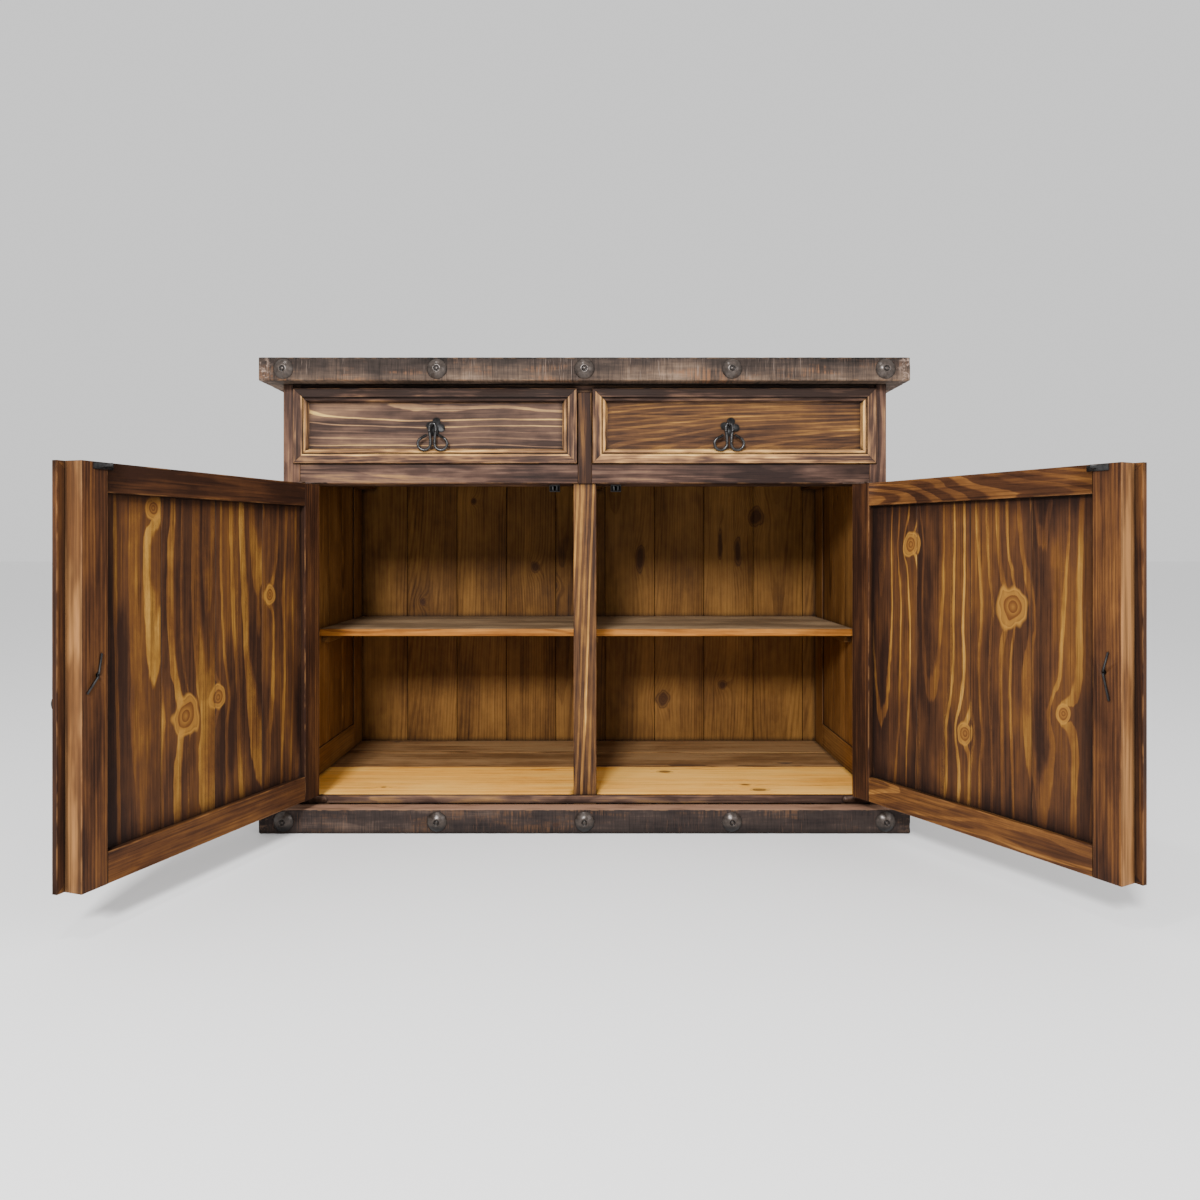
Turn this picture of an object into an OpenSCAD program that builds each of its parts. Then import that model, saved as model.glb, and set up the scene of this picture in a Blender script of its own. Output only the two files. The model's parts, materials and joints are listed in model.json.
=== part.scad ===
// Rustic pine buffet cabinet: two drawers over two doors, thick rough-sawn top and plinth
// studded with iron clavos. The doors stand open, the drawers are shut.
// X runs to the right, the front faces -Y, Z is up, and the origin is on the floor in the middle.

/* [Overall] */
// Width of the top and of the plinth
top_w = 1220; // [1150:1:1320]
// Depth of the top
top_d = 555; // [530:1:600]
// Height from the floor to the top's upper face
total_h = 893; // [860:1:940]
// Thickness of the top planks
top_t = 44; // [38:1:50]
// Depth of the front plank of the top
top_front_plank_d = 185; // [150:1:200]
// Height of the plinth boards
plinth_h = 46; // [40:1:50]
// How far top and plinth stand past the case at each side
side_over = 32.5; // [26:0.5:40]
// How far top and plinth stand past the case in front
front_over = 39; // [32:1:44]
// How far the top stands past the case behind
back_over = 10; // [4:1:16]
// Chamfer on the arrises of the rough-sawn stock
saw_ease = 2; // [1:0.5:3]
// Chamfer on the arrises of the planed stock
plane_ease = 1; // [0.5:0.5:1.5]

/* [Face frame] */
// Face width of the corner stiles
stile_w = 32.5; // [30:0.5:38]
// Depth of the corner stiles, front to back
stile_d = 45; // [42:1:52]
// Height of the rail over the drawers
top_rail_h = 16; // [14:1:19]
// Height of the rail between drawers and doors
mid_rail_h = 37; // [32:1:42]
// Depth of the rail between drawers and doors
mid_rail_d = 89; // [86:1:100]
// Depth of the strip in front of the floor
bottom_rail_d = 12; // [10:1:14]
// Width of the divider between the drawers
divider_w = 27; // [24:1:32]
// Depth of the lap where the divider crosses the rail
divider_lap = 14; // [10:1:20]
// Width of the post between the doors
mullion_w = 44; // [40:1:48]
// Depth of the post between the doors
mullion_d = 38; // [34:1:42]

/* [Carcass] */
// Thickness of the floor boards
floor_t = 15; // [12:1:18]
// Width of the front floor board
floor_front_w = 214; // [180:1:230]
// Thickness of the side frames
side_t = 20; // [18:1:24]
// Width of the rear stile of a side frame
side_stile_w = 84; // [70:1:96]
// Height of the side frames' top rail
side_top_rail_h = 70; // [60:1:90]
// Height of the side frames' bottom rail
side_bottom_rail_h = 116; // [100:1:130]
// Number of boards in a side frame
side_boards = 4; // [3:1:6]
// Thickness of the boards in the side frames
side_panel_t = 10; // [8:1:12]
// How far these boards lie behind the frame's inner face
side_panel_in = 3.5; // [2:0.5:5]
// How far a panel sits into its groove
groove = 8; // [6:1:10]
// Thickness of the back boards
back_t = 12; // [10:1:14]
// How far the back boards lie inside the case's rear edge
back_in = 2; // [1:0.5:4]
// Width of one back board
back_board_w = 121.5; // [100:0.5:140]
// Visible width of the first back board at the left
back_first_w = 112; // [90:1:120]
// Thickness of the centre partition
partition_t = 18; // [14:1:20]
// Height of the shelves' upper face above the floor boards
shelf_rise = 306; // [250:1:380]
// Thickness of the shelves
shelf_t = 15.5; // [12:0.5:20]
// Depth of the shelves
shelf_d = 340; // [300:1:380]
// Gap between a shelf and the walls at its ends
shelf_play = 0.5; // [0.3:0.1:1.5]
// Height and width of the shelf cleats
cleat = 16; // [12:1:20]
// Width of the bearers under the floor
bearer_w = 45; // [38:1:60]
// Gap between neighbouring boards
board_gap = 0.3; // [0.2:0.1:1]

/* [Mouldings] */
// Thickness of the mitred frames where they lap the case
lip_t = 10; // [8:1:12]
// How far doors and drawer fronts stand proud of the case
front_proud = 6; // [4:1:7]
// Gap behind a lip
lip_gap = 1; // [0.5:0.5:1.5]
// Width of the bead and cove of the mitred frames
slope_w = 20; // [18:1:24]
// Radius of the bead
bead_r = 3.2; // [2.6:0.1:3.4]
// Width of the quirk beside the bead
quirk_w = 2; // [1.5:0.5:3]
// Thickness of the mitred frames at their inner edge
thin_edge = 2.5; // [2:0.5:4]
// Width of the flat band round a drawer front
drawer_band_w = 17; // [15:1:22]
// Width of the flat band round a door
door_band_w = 56; // [54:1:60]
// Open joint of the mitres
mitre_gap = 0.2; // [0.1:0.1:0.5]

/* [Doors] */
// How far the left door stands open, in degrees
left_open = 109; // [90:1:160]
// How far the right door stands open, in degrees
right_open = 118.5; // [90:0.5:160]
// Thickness of the door frame behind its moulding
door_frame_t = 31; // [28:1:34]
// Width of the door stiles
door_stile_w = 43; // [38:1:48]
// Width of the door's top rail
door_top_rail_w = 42; // [38:1:50]
// Width of the door's bottom rail
door_bottom_rail_w = 45; // [40:1:52]
// How deep the panel lies behind the inner face
door_recess = 10; // [7:1:13]
// Number of boards in a door panel
door_boards = 4; // [3:1:5]
// How far the moulding laps the post between the doors
lip_w = 11; // [9:1:12]
// Gap between the door and its stile
door_side_gap = 2; // [1.5:0.5:3]
// Gap between the door frame and the post between the doors
door_meet_gap = 3.4; // [2.4:0.2:5]
// Gap over a door
door_top_gap = 3.5; // [3:0.5:4]
// Gap under a door
door_bottom_gap = 6; // [5:0.5:8]
// Height of the door pulls' pins above the floor boards
door_pull_rise = 300; // [250:1:350]
// Distance of the door pulls' pins from the door frame's free edge
door_pull_in = 26.6; // [24:0.2:30]

/* [Drawers] */
// Height of the drawer openings, rail to rail
drawer_opening_h = 137; // [125:1:150]
// How far the drawer fronts lap the corner stiles
drawer_side_lap = 12; // [9:1:14]
// How far the drawer fronts lap the rail over them
drawer_top_lap = 8; // [6:1:10]
// Gap between a drawer front and its neighbours
drawer_gap = 1.4; // [1:0.2:2.4]
// Thickness of the drawer front boards
drawer_front_t = 18; // [16:1:22]
// Thickness of the drawer sides and back
drawer_side_t = 12; // [10:1:15]
// Height of the drawer sides
drawer_side_h = 105; // [90:1:112]
// Room between the drawers and the back boards
drawer_back_gap = 30; // [20:1:90]
// Height of the drawer sides' lower edge above the rail
drawer_lift = 4; // [3:0.5:6]
// Thickness of the drawer bottoms
drawer_bottom_t = 6; // [5:0.5:8]
// Height of the drawer bottoms above the sides' lower edge
drawer_bottom_rise = 12; // [10:1:16]
// Running gap between drawer sides and their runners
runner_gap = 0.3; // [0.3:0.1:1]
// Height of the drawer runners
runner_h = 22; // [18:1:26]
// How far a runner reaches inwards past a drawer side
runner_ledge = 8; // [5:1:12]
// Thickness of the guides beside the drawers
guide_t = 4; // [3:0.5:4.5]
// Height of the guides above the runners
guide_h = 14; // [10:1:20]

/* [Ironwork] */
// Diameter of a clavo's head
clavo_d = 38.6; // [32:0.2:42]
// Height of a clavo's dome
clavo_h = 9; // [7:0.5:12]
// Radius of the hollow struck round a clavo's middle
dish_r = 7; // [6:0.5:8]
// Depth of this hollow
dish_h = 2.2; // [1.5:0.1:2.6]
// Radius of the nail head in the middle of a clavo
button_r = 3.6; // [3:0.1:4]
// Height of this nail head
button_h = 3.2; // [2.6:0.1:3.6]
// Diameter of the nail in a clavo
clavo_nail_d = 4; // [3:0.5:5]
// Length of the nail in a clavo
clavo_nail_l = 32; // [24:1:36]
// Distance of the outer clavos from the ends of the top
clavo_end = 46; // [40:1:60]
// Share of the way out at which the second clavos sit
clavo_second = 0.49; // [0.45:0.01:0.55]
// Diameter of the wire of a pull
wire_d = 5.4; // [4.6:0.1:5.8]
// Radius of the loops of a pull
loop_r = 12; // [10.5:0.1:13]
// Clearance of a pull in its pin's eye
eye_gap = 0.08; // [0.05:0.01:0.1]
// Half the length of the straight at the top of a pull
pin_half = 1.7; // [1.6:0.1:2]
// Length of the straight at each end of a pull
tail_l = 13; // [10:0.5:13.2]
// Height of the drawer pulls' pins above the middle of the front
pull_rise = 3; // [2:0.5:8]
// Distance of the left drawer's pull from the middle of the case
left_pull_x = 290; // [270:1:300]
// Distance of the right drawer's pull from the middle of the case
right_pull_x = 275; // [270:1:300]
// Diameter of the legs of a split pin
leg_d = 2.6; // [2.2:0.1:2.8]
// Length of a clinched leg past its bend
leg_l = 26; // [20:1:30]
// Length of the longer leg in the right door
long_leg_l = 36; // [26:1:40]
// Half the gap between the two legs of a split pin
leg_gap = 0.1; // [0.1:0.05:0.2]
// Radius of a rosette, centre to petal tip
rosette_r = 18; // [16:0.5:18]
// Radius of a petal's tip
petal_r = 7.2; // [6:0.2:8]
// How far a rosette's middle lies right of its pin
rosette_right = 3.5; // [0:0.5:4]
// How far a rosette's middle lies below its pin
rosette_drop = 4.5; // [0:0.5:5]
// Thickness of a rosette
rosette_t = 2; // [1.5:0.5:3]
// Height of the boss round the hole of a rosette
boss_t = 1.5; // [1:0.5:2]
// Radius of this boss at its foot
boss_r = 5.5; // [5:0.5:7]
// Gap between a pull and the face behind it
pull_gap = 1; // [0.6:0.2:2]
// Thickness of a hinge leaf
leaf_t = 2.5; // [2:0.5:3]
// Length of a hinge leaf in a door
leaf_l = 58; // [48:1:66]
// Length of a hinge plate on the case
plate_l = 48; // [40:1:60]
// Width of a hinge leaf
leaf_w = 14; // [12:1:16]
// Diameter of a hinge's eye
eye_d = 12; // [10:0.5:13]
// Diameter of a hinge pin
hinge_pin_d = 5; // [4:0.5:6]
// Gap between a hinge pin's end and the bottom of its bore
pin_end_gap = 0.3; // [0.2:0.1:0.6]
// Diameter of the washer under a door
washer_d = 9; // [8:0.5:11]
// Gap between a door and its washer
washer_gap = 0.2; // [0.2:0.1:0.5]
// Height of the lower hinge plates above the strip's lower edge
plate_up = 2; // [1:0.5:3]
// How far a lower hinge plate reaches past its pin
plate_past = 3; // [2:0.5:5]
// Radial clearance of a pin in its bore
pin_gap = 0.05; // [0.03:0.01:0.08]
// Distance of the hinge pin from the door's edge
pivot_in = 1.5; // [1:0.5:2]
// Distance of the catches from the middle of the case
catch_x = 60; // [54:1:70]
// Diameter of a catch roller
roller_d = 5.2; // [4.6:0.1:5.4]
// Distance between the two rollers of a catch
roller_pitch = 8.8; // [8.6:0.1:10]
// Length of a catch roller
roller_l = 9; // [7:0.5:10]
// Diameter of a roller's pin
roller_pin_d = 2; // [1.5:0.1:2.4]
// Gap between a roller and its housing, above and below
roller_gap = 0.4; // [0.3:0.1:0.6]
// Gap between a roller and its housing at the side
roller_room = 3; // [2:0.5:5]
// Thickness of a catch housing's plate
catch_t = 1.5; // [1:0.5:2]
// Depth of a catch housing
catch_d = 20; // [16:1:24]
// Distance of the rollers from a housing's front
catch_in = 8; // [6:1:10]
// Gap between a shut door and a catch housing
catch_gap = 3; // [2.5:0.5:5]
// Thickness of a strike's plate
strike_t = 1.5; // [1:0.5:2]
// Width of a strike's plate
strike_w = 32; // [26:1:40]
// Height of a strike's plate
strike_h = 9; // [7:1:12]

/* [Hidden] */
$fn = 48;

// Main planes of the case
case_x = top_w / 2 - side_over;
case_front = -top_d / 2 + front_over;
case_back = top_d / 2 - back_over;
case_top = total_h - top_t;
floor_z = plinth_h + floor_t;
open_x = case_x - stile_w;
top_rail_z = case_top - top_rail_h;
mid_z1 = top_rail_z - drawer_opening_h;
mid_z0 = mid_z1 - mid_rail_h;
wall_x = case_x - side_t;
back_face = case_back - back_t - back_in;
recess = lip_t - front_proud + lip_gap;
door_face = case_front - front_proud;
post_back = case_front + stile_d;

// Doors, in their own frame: x from the pin to the free edge, y from the outer face inwards
pivot_x = open_x - door_side_gap - pivot_in;
door_w = open_x - door_side_gap - mullion_w / 2 - door_meet_gap;
door_z0 = floor_z + door_bottom_gap;
door_z1 = mid_z0 - door_top_gap;
door_h = door_z1 - door_z0;
door_x0 = -pivot_in;
door_x1 = door_x0 + door_w;
door_t = lip_t + door_frame_t;
panel_y1 = door_t - door_recess;
panel_t = panel_y1 - lip_t;
tongue_t = panel_t / 3;
door_pull_x = door_x1 - door_pull_in;
door_pull_z = floor_z + door_pull_rise;

// Drawers, measured on the right-hand one
drawer_x0 = divider_w / 2 + drawer_gap;
drawer_x1 = open_x + drawer_side_lap;
drawer_z0 = mid_z1 + drawer_gap;
drawer_z1 = top_rail_z + drawer_top_lap;
box_x1 = open_x - drawer_gap;
box_z0 = mid_z1 + drawer_lift;
front_y = door_face + lip_t;
box_y0 = front_y + drawer_front_t;
box_y1 = back_face - drawer_back_gap;
drawer_floor_z = box_z0 + drawer_bottom_rise;
pull_z = (drawer_z0 + drawer_z1) / 2 + pull_rise;
function pull_x(side) = side < 0 ? left_pull_x : right_pull_x;

// Ironwork
eye_r = wire_d / 2 + eye_gap;
// How deep a pull has worn into its pin's eye
eye_wear = 0.3;
// Bends of the pins and joints of the pulls' wire are a little thicker than the rest
knuckle_d = leg_d + 0.3;
collar_d = wire_d + 0.2;
collar_l = 1;
ring_r = eye_r + leg_d / 2 - eye_wear;
leg_out = leg_d / 2 + leg_gap;
hole_d = 2 * (leg_out + leg_d / 2 + leg_gap);
pull_y = -wire_d / 2 - pull_gap;
ring_out = ring_r + leg_d / 2;
seat_gap = 0.3;
door_pull_y = -rosette_t - boss_t - ring_out - seat_gap;
catch_front = door_face + door_t + catch_gap;
catch_w = roller_pitch + roller_d + 2 * roller_room;
catch_drop = roller_l + 2 * roller_gap + 2 * catch_t;

// How far a cutting body reaches past the faces it cuts, and a joined one into its neighbour
past = 1;

// A bar with chamfered long edges, lying along X, Y or Z
module chamfered(a, b, e) {
    polygon([[e, 0], [a - e, 0], [a, e], [a, b - e], [a - e, b], [e, b], [0, b - e], [0, e]]);
}
module bar_x(x0, x1, y0, y1, z0, z1, e = plane_ease) {
    translate([x0, y0, z0]) rotate([90, 0, 90]) linear_extrude(x1 - x0)
        chamfered(y1 - y0, z1 - z0, e);
}
module bar_y(x0, x1, y0, y1, z0, z1, e = plane_ease) {
    translate([x0, y1, z0]) rotate([90, 0, 0]) linear_extrude(y1 - y0)
        chamfered(x1 - x0, z1 - z0, e);
}
module bar_z(x0, x1, y0, y1, z0, z1, e = plane_ease) {
    translate([x0, y0, z0]) linear_extrude(z1 - z0) chamfered(x1 - x0, y1 - y0, e);
}
module block(x0, x1, y0, y1, z0, z1) {
    translate([x0, y0, z0]) cube([x1 - x0, y1 - y0, z1 - z0]);
}

// Draws its children as they are for side 1 and mirrored to the left for side -1
module on_side(side) {
    if (side > 0) children();
    else mirror([1, 0, 0]) children();
}

// One tongued and grooved board standing on end, x0 to x1 wide and t thick
module board(x0, x1, t, h, tongue = true, slot = true) {
    third = t / 3;
    reach = groove / 2;
    v = plane_ease;
    linear_extrude(h) difference() {
        union() {
            polygon([[x0 + v, 0], [x1 - v, 0], [x1, v], [x1, t], [x0, t], [x0, v]]);
            if (tongue) translate([x1 - v, third]) square([reach + v, third]);
        }
        if (slot) translate([x0 - v, third - board_gap / 2])
            square([reach + v + board_gap, third + board_gap]);
    }
}
// A run of equal boards that fills a width
module boards(width, count, t, h) {
    pitch = width / count;
    for (i = [0 : count - 1])
        board(i * pitch + (i > 0 ? board_gap : 0), (i + 1) * pitch, t, h,
              i < count - 1, i > 0);
}

// Top
module plank(y0, y1) {
    bar_x(-top_w / 2, top_w / 2, y0, y1, case_top, total_h, saw_ease);
}
module top_front_plank() {
    color("#4a3c34") difference() {
        plank(-top_d / 2, -top_d / 2 + top_front_plank_d);
        clavo_holes();
    }
}
module top_rear_planks() {
    rear_0 = -top_d / 2 + top_front_plank_d;
    rear_w = (top_d - top_front_plank_d) / 2;
    color("#54402f") for (i = [0, 1])
        plank(rear_0 + i * rear_w + board_gap, rear_0 + (i + 1) * rear_w);
}

// Plinth: a board in front and one down each side, mitred at the front corners
module plinth_front() {
    back = case_front;
    front = -top_d / 2;
    color("#4a3c34") difference() {
        intersection() {
            bar_x(-top_w / 2, top_w / 2, front, back, 0, plinth_h, saw_ease);
            linear_extrude(plinth_h) polygon([
                [-top_w / 2, front], [top_w / 2, front], [case_x, back], [-case_x, back]
            ]);
        }
        clavo_holes();
    }
}
module plinth_side(side) {
    color("#4a3c34") on_side(side) intersection() {
        bar_y(case_x, top_w / 2, -top_d / 2, case_back, 0, plinth_h, saw_ease);
        linear_extrude(plinth_h) polygon([
            [top_w / 2, -top_d / 2 + mitre_gap], [top_w / 2, case_back],
            [case_x, case_back], [case_x, case_front + mitre_gap]
        ]);
    }
}
module plinth_left() { plinth_side(-1); }
module plinth_right() { plinth_side(1); }

// Bearers that the floor boards lie on: three front to back and one behind
module base_bearers() {
    color("#b98a55") {
        for (x = [-wall_x + bearer_w, 0, wall_x - bearer_w])
            bar_y(x - bearer_w / 2, x + bearer_w / 2, case_front,
                  back_face - bearer_w - board_gap, 0, plinth_h);
        bar_x(-wall_x, wall_x, back_face - bearer_w, back_face, 0, plinth_h);
    }
}

// Corner stiles of the face frame, rabbeted beside the drawers and grooved for the side panels
module stile(side) {
    color("#6b4528") on_side(side) difference() {
        bar_z(open_x, case_x, case_front, post_back, 0, case_top);
        block(open_x - past, open_x + drawer_side_lap + drawer_gap, case_front - past,
              case_front + recess, mid_z1, case_top + past);
        side_groove();
    }
}
module stile_left() { stile(-1); }
module stile_right() { stile(1); }

// Rails and posts of the face frame
module top_rail() {
    color("#4f321f") bar_x(-open_x, open_x, case_front + recess, post_back,
                           top_rail_z, case_top);
}
module mid_rail() {
    color("#5e3b24") difference() {
        bar_x(-open_x, open_x, case_front, case_front + mid_rail_d, mid_z0, mid_z1);
        block(-divider_w / 2, divider_w / 2, case_front - past, case_front + divider_lap,
              mid_z0 - past, mid_z1 + past);
        for (side = [-1, 1]) on_side(side) top_leaf_pocket();
    }
}
module bottom_rail() {
    color("#5a2f1c") bar_x(-open_x, open_x, case_front, case_front + bottom_rail_d,
                           plinth_h, floor_z);
}
module drawer_divider() {
    half = divider_w / 2;
    color("#6f4827") difference() {
        bar_z(-half, half, case_front, post_back, mid_z0, case_top);
        block(-half - past, half + past, case_front + divider_lap, post_back + past,
              mid_z0 - past, mid_z1);
        block(-half - past, half + past, case_front - past, post_back + past,
              top_rail_z, case_top + past);
    }
}
module mullion() {
    half = mullion_w / 2;
    color("#6f4827") bar_z(-half, half, case_front + recess, case_front + recess + mullion_d,
                           floor_z, mid_z0);
}

// Side frames: rear stile and two rails round a panel of upright boards
side_back_y = case_back - side_stile_w;
side_panel_x = wall_x + side_panel_in;
module side_groove() {
    block(side_panel_x, side_panel_x + side_panel_t, post_back - groove,
          side_back_y + groove, side_bottom_rail_h - groove,
          case_top - side_top_rail_h + groove);
}
module side_frame(side) {
    color("#6b4528") on_side(side) difference() {
        union() {
            bar_z(wall_x, case_x, side_back_y, case_back, 0, case_top);
            bar_y(wall_x, case_x, post_back, side_back_y - board_gap,
                  case_top - side_top_rail_h, case_top);
            bar_y(wall_x, case_x, post_back, side_back_y - board_gap, 0,
                  side_bottom_rail_h);
        }
        side_groove();
        block(wall_x - past, wall_x + groove, back_face, case_back + past,
              plinth_h, case_top + past);
    }
}
module side_frame_left() { side_frame(-1); }
module side_frame_right() { side_frame(1); }
module side_panel(side) {
    len = side_back_y - post_back + 2 * groove;
    bottom = side_bottom_rail_h - groove;
    top = case_top - side_top_rail_h + groove;
    color("#a5793f") on_side(side)
        translate([side_panel_x + side_panel_t, post_back - groove, bottom])
        rotate([0, 0, 90]) boards(len, side_boards, side_panel_t, top - bottom);
}
module side_panel_left() { side_panel(-1); }
module side_panel_right() { side_panel(1); }

// Back: upright boards let into the side frames
module back_boards() {
    half = wall_x + groove;
    first = -wall_x + back_first_w;
    count = ceil((half - first) / back_board_w);
    color("#b98a4e") translate([0, back_face, plinth_h]) {
        board(-half, first, back_t, case_top - plinth_h, true, false);
        for (i = [0 : count - 1])
            board(first + i * back_board_w + board_gap,
                  min(half, first + (i + 1) * back_board_w), back_t,
                  case_top - plinth_h, i < count - 1, true);
    }
}

// Floor: a front board and two behind it, notched round the corner stiles
module floor_boards() {
    front = case_front + bottom_rail_d;
    joint = front + floor_front_w;
    rear_w = (back_face - joint) / 2;
    color("#c08a48") difference() {
        union() {
            bar_x(-wall_x, wall_x, front, joint, plinth_h, floor_z);
            for (i = [0, 1])
                bar_x(-wall_x, wall_x, joint + i * rear_w + board_gap,
                      joint + (i + 1) * rear_w, plinth_h, floor_z);
        }
        for (side = [-1, 1]) on_side(side)
            block(open_x, wall_x + past, front - past, post_back,
                  plinth_h - past, floor_z + past);
    }
}

// Partition behind the post and the divider, notched round the rail
module partition() {
    half = partition_t / 2;
    lower_front = case_front + recess + mullion_d;
    color("#b98a4e") difference() {
        block(-half, half, lower_front, back_face, floor_z, case_top);
        block(-half - past, half + past, case_front, case_front + mid_rail_d, mid_z0, mid_z1);
        block(-half - past, half + past, case_front, post_back,
              mid_z1 - past, case_top + past);
    }
}

// Shelves and the cleats that carry them
shelf_z = floor_z + shelf_rise - shelf_t;
shelf_front = back_face - shelf_d;
module shelf(side) {
    color("#c2924f") on_side(side)
        bar_x(partition_t / 2 + shelf_play, wall_x - shelf_play, shelf_front, back_face,
              shelf_z, shelf_z + shelf_t);
}
module shelf_left() { shelf(-1); }
module shelf_right() { shelf(1); }
module shelf_cleats() {
    cleat_front = shelf_front + 2 * cleat;
    color("#a5793f") for (side = [-1, 1]) on_side(side) {
        bar_y(partition_t / 2, partition_t / 2 + cleat, cleat_front, back_face,
              shelf_z - cleat, shelf_z);
        bar_y(side_panel_x - cleat, side_panel_x, cleat_front, side_back_y,
              shelf_z - cleat, shelf_z);
    }
}

// Runners: a ledge under each drawer side and a guide beside it
module runner(x0, x1, guide_x) {
    top = box_z0 - runner_gap;
    y0 = case_front + mid_rail_d;
    block(x0, x1, y0, back_face, top - runner_h, top);
    block(guide_x, guide_x + guide_t, y0, back_face, top - past, top + guide_h);
}
module drawer_runners() {
    ledge = drawer_side_t + runner_ledge;
    color("#a5793f") for (side = [-1, 1]) on_side(side) {
        runner(partition_t / 2, drawer_x0 + ledge, partition_t / 2);
        runner(box_x1 - ledge, wall_x, wall_x - guide_t);
    }
}

// Mitred frames: a flat band, a quirk, a bead and a cove down to the panel
module moulding_section(band) {
    width = band + slope_w;
    bead_x = band + quirk_w + bead_r;
    cove_x = bead_x + bead_r;
    cove_top = lip_t - bead_r;
    cove_fullness = 1.1;
    cove_out = 1.2;
    difference() {
        polygon([
            [0, 0], [width, 0], [width, thin_edge], [cove_x, cove_top], [band, cove_top],
            [band, lip_t], [plane_ease, lip_t], [0, lip_t - plane_ease]
        ]);
        translate([width + cove_out, cove_top + cove_out])
            circle((width - cove_x) * cove_fullness);
    }
    translate([bead_x, cove_top]) circle(bead_r);
}
// One length of a frame from corner to corner, its outer edge on the X axis
module moulding_length(len, band) {
    width = band + slope_w;
    cut = mitre_gap / 2;
    intersection() {
        rotate([90, 0, 90]) linear_extrude(len) rotate([0, 0, 90])
            moulding_section(band);
        translate([0, -2 * lip_t, 0]) rotate([-90, 0, 0]) mirror([0, 1, 0])
            linear_extrude(5 * lip_t) polygon([
                [cut, 0], [len - cut, 0], [len - width - cut, width], [width + cut, width]
            ]);
    }
}
// A whole frame with its front at y = -lip_t, and its corner at the origin
module moulding_frame(w, h, band) {
    moulding_length(w, band);
    translate([w, 0, h]) rotate([0, 180, 0]) moulding_length(w, band);
    translate([0, 0, h]) rotate([0, 90, 0]) moulding_length(h, band);
    translate([w, 0, 0]) rotate([0, -90, 0]) moulding_length(h, band);
}

// Drawer parts, drawn on the right
module drawer_moulding(side) {
    color("#6a4630") on_side(side) translate([drawer_x0, door_face + lip_t, drawer_z0])
        moulding_frame(drawer_x1 - drawer_x0, drawer_z1 - drawer_z0, drawer_band_w);
}
module drawer_front(side) {
    color("#7a4f2a") on_side(side) difference() {
        bar_x(drawer_x0, box_x1, front_y, box_y0, drawer_z0, top_rail_z - drawer_gap);
        translate([pull_x(side), front_y, pull_z]) pin_hole(drawer_front_t, true);
        block(drawer_x0 - past, box_x1 + past, box_y0 - groove / 2, box_y0 + past,
              drawer_floor_z, drawer_floor_z + drawer_bottom_t);
    }
}
module drawer_box(side) {
    color("#b98a4e") on_side(side) {
        difference() {
            for (x = [drawer_x0, box_x1 - drawer_side_t])
                bar_y(x, x + drawer_side_t, box_y0, box_y1, box_z0, box_z0 + drawer_side_h);
            drawer_bottom_space();
        }
        bar_x(drawer_x0 + drawer_side_t + board_gap, box_x1 - drawer_side_t - board_gap,
              box_y1 - drawer_side_t, box_y1, drawer_floor_z + drawer_bottom_t,
              box_z0 + drawer_side_h);
    }
}
module drawer_bottom_space() {
    hold = drawer_side_t - groove / 2;
    block(drawer_x0 + hold, box_x1 - hold, box_y0 - groove / 2, box_y1 + past,
          drawer_floor_z, drawer_floor_z + drawer_bottom_t);
}
module drawer_bottom(side) {
    hold = drawer_side_t - groove / 2;
    short = 2;
    color("#c39a5c") on_side(side)
        block(drawer_x0 + hold, box_x1 - hold, box_y0 - groove / 2, box_y1 - short,
              drawer_floor_z, drawer_floor_z + drawer_bottom_t);
}

// Split pin hole through wood, along +Y from the origin, sunk behind where the legs turn
module pin_hole(depth, sunk) {
    sink = 1.6;
    flare = 2.4;
    translate([0, -past, 0]) rotate([-90, 0, 0]) cylinder(d = hole_d, h = depth + 2 * past);
    if (sunk) translate([0, depth - sink, 0]) rotate([-90, 0, 0])
        cylinder(r1 = hole_d / 2, r2 = hole_d / 2 + flare, h = sink + past);
}
// Flower rosette with four petals, its back on the plane y = 0
module rosette() {
    turn = 80;
    rotate([90, 0, 0]) difference() {
        union() {
            translate([rosette_right, -rosette_drop, 0]) linear_extrude(rosette_t) {
                circle(rosette_r / 2);
                for (k = [0 : 3]) rotate(turn + 90 * k)
                    translate([rosette_r - petal_r, 0]) circle(petal_r);
            }
            cylinder(r1 = boss_r, r2 = boss_r - boss_t, h = rosette_t + boss_t);
        }
        translate([0, 0, -past]) cylinder(d = hole_d, h = rosette_t + boss_t + 2 * past);
    }
}
// Split pin: an eye at the origin, two legs through the wood along +Y, clinched behind it
module split_pin(reach, up_len, up_lean, down_len, down_lean) {
    bend_r = leg_d;
    rotate([0, 90, 0]) difference() {
        rotate_extrude() translate([ring_r, 0]) circle(d = leg_d);
        cylinder(r = eye_r, h = 2 * leg_d, center = true);
    }
    for (leg = [[1, up_len, up_lean], [-1, down_len, down_lean]])
        translate([0, 0, leg[0] * leg_out]) {
            translate([0, ring_r, 0]) rotate([-90, 0, 0])
                cylinder(d = leg_d, h = reach - ring_r + leg_d / 2 - bend_r);
            translate([0, reach + leg_d / 2 - bend_r, 0]) sphere(d = knuckle_d);
            translate([0, reach + leg_d / 2 - bend_r, 0]) rotate([0, leg[2], 0])
                clinch(leg[0], bend_r, leg[1]);
        }
}
module clinch(way, bend_r, len) {
    translate([0, 0, way * bend_r]) rotate([0, 90, 0])
        rotate(way > 0 ? 0 : 90) rotate_extrude(angle = 90) translate([bend_r, 0])
            circle(d = leg_d);
    translate([0, bend_r, way * bend_r]) sphere(d = knuckle_d);
    translate([0, bend_r, way > 0 ? bend_r : -bend_r - len]) cylinder(d = leg_d, h = len);
}

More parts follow.
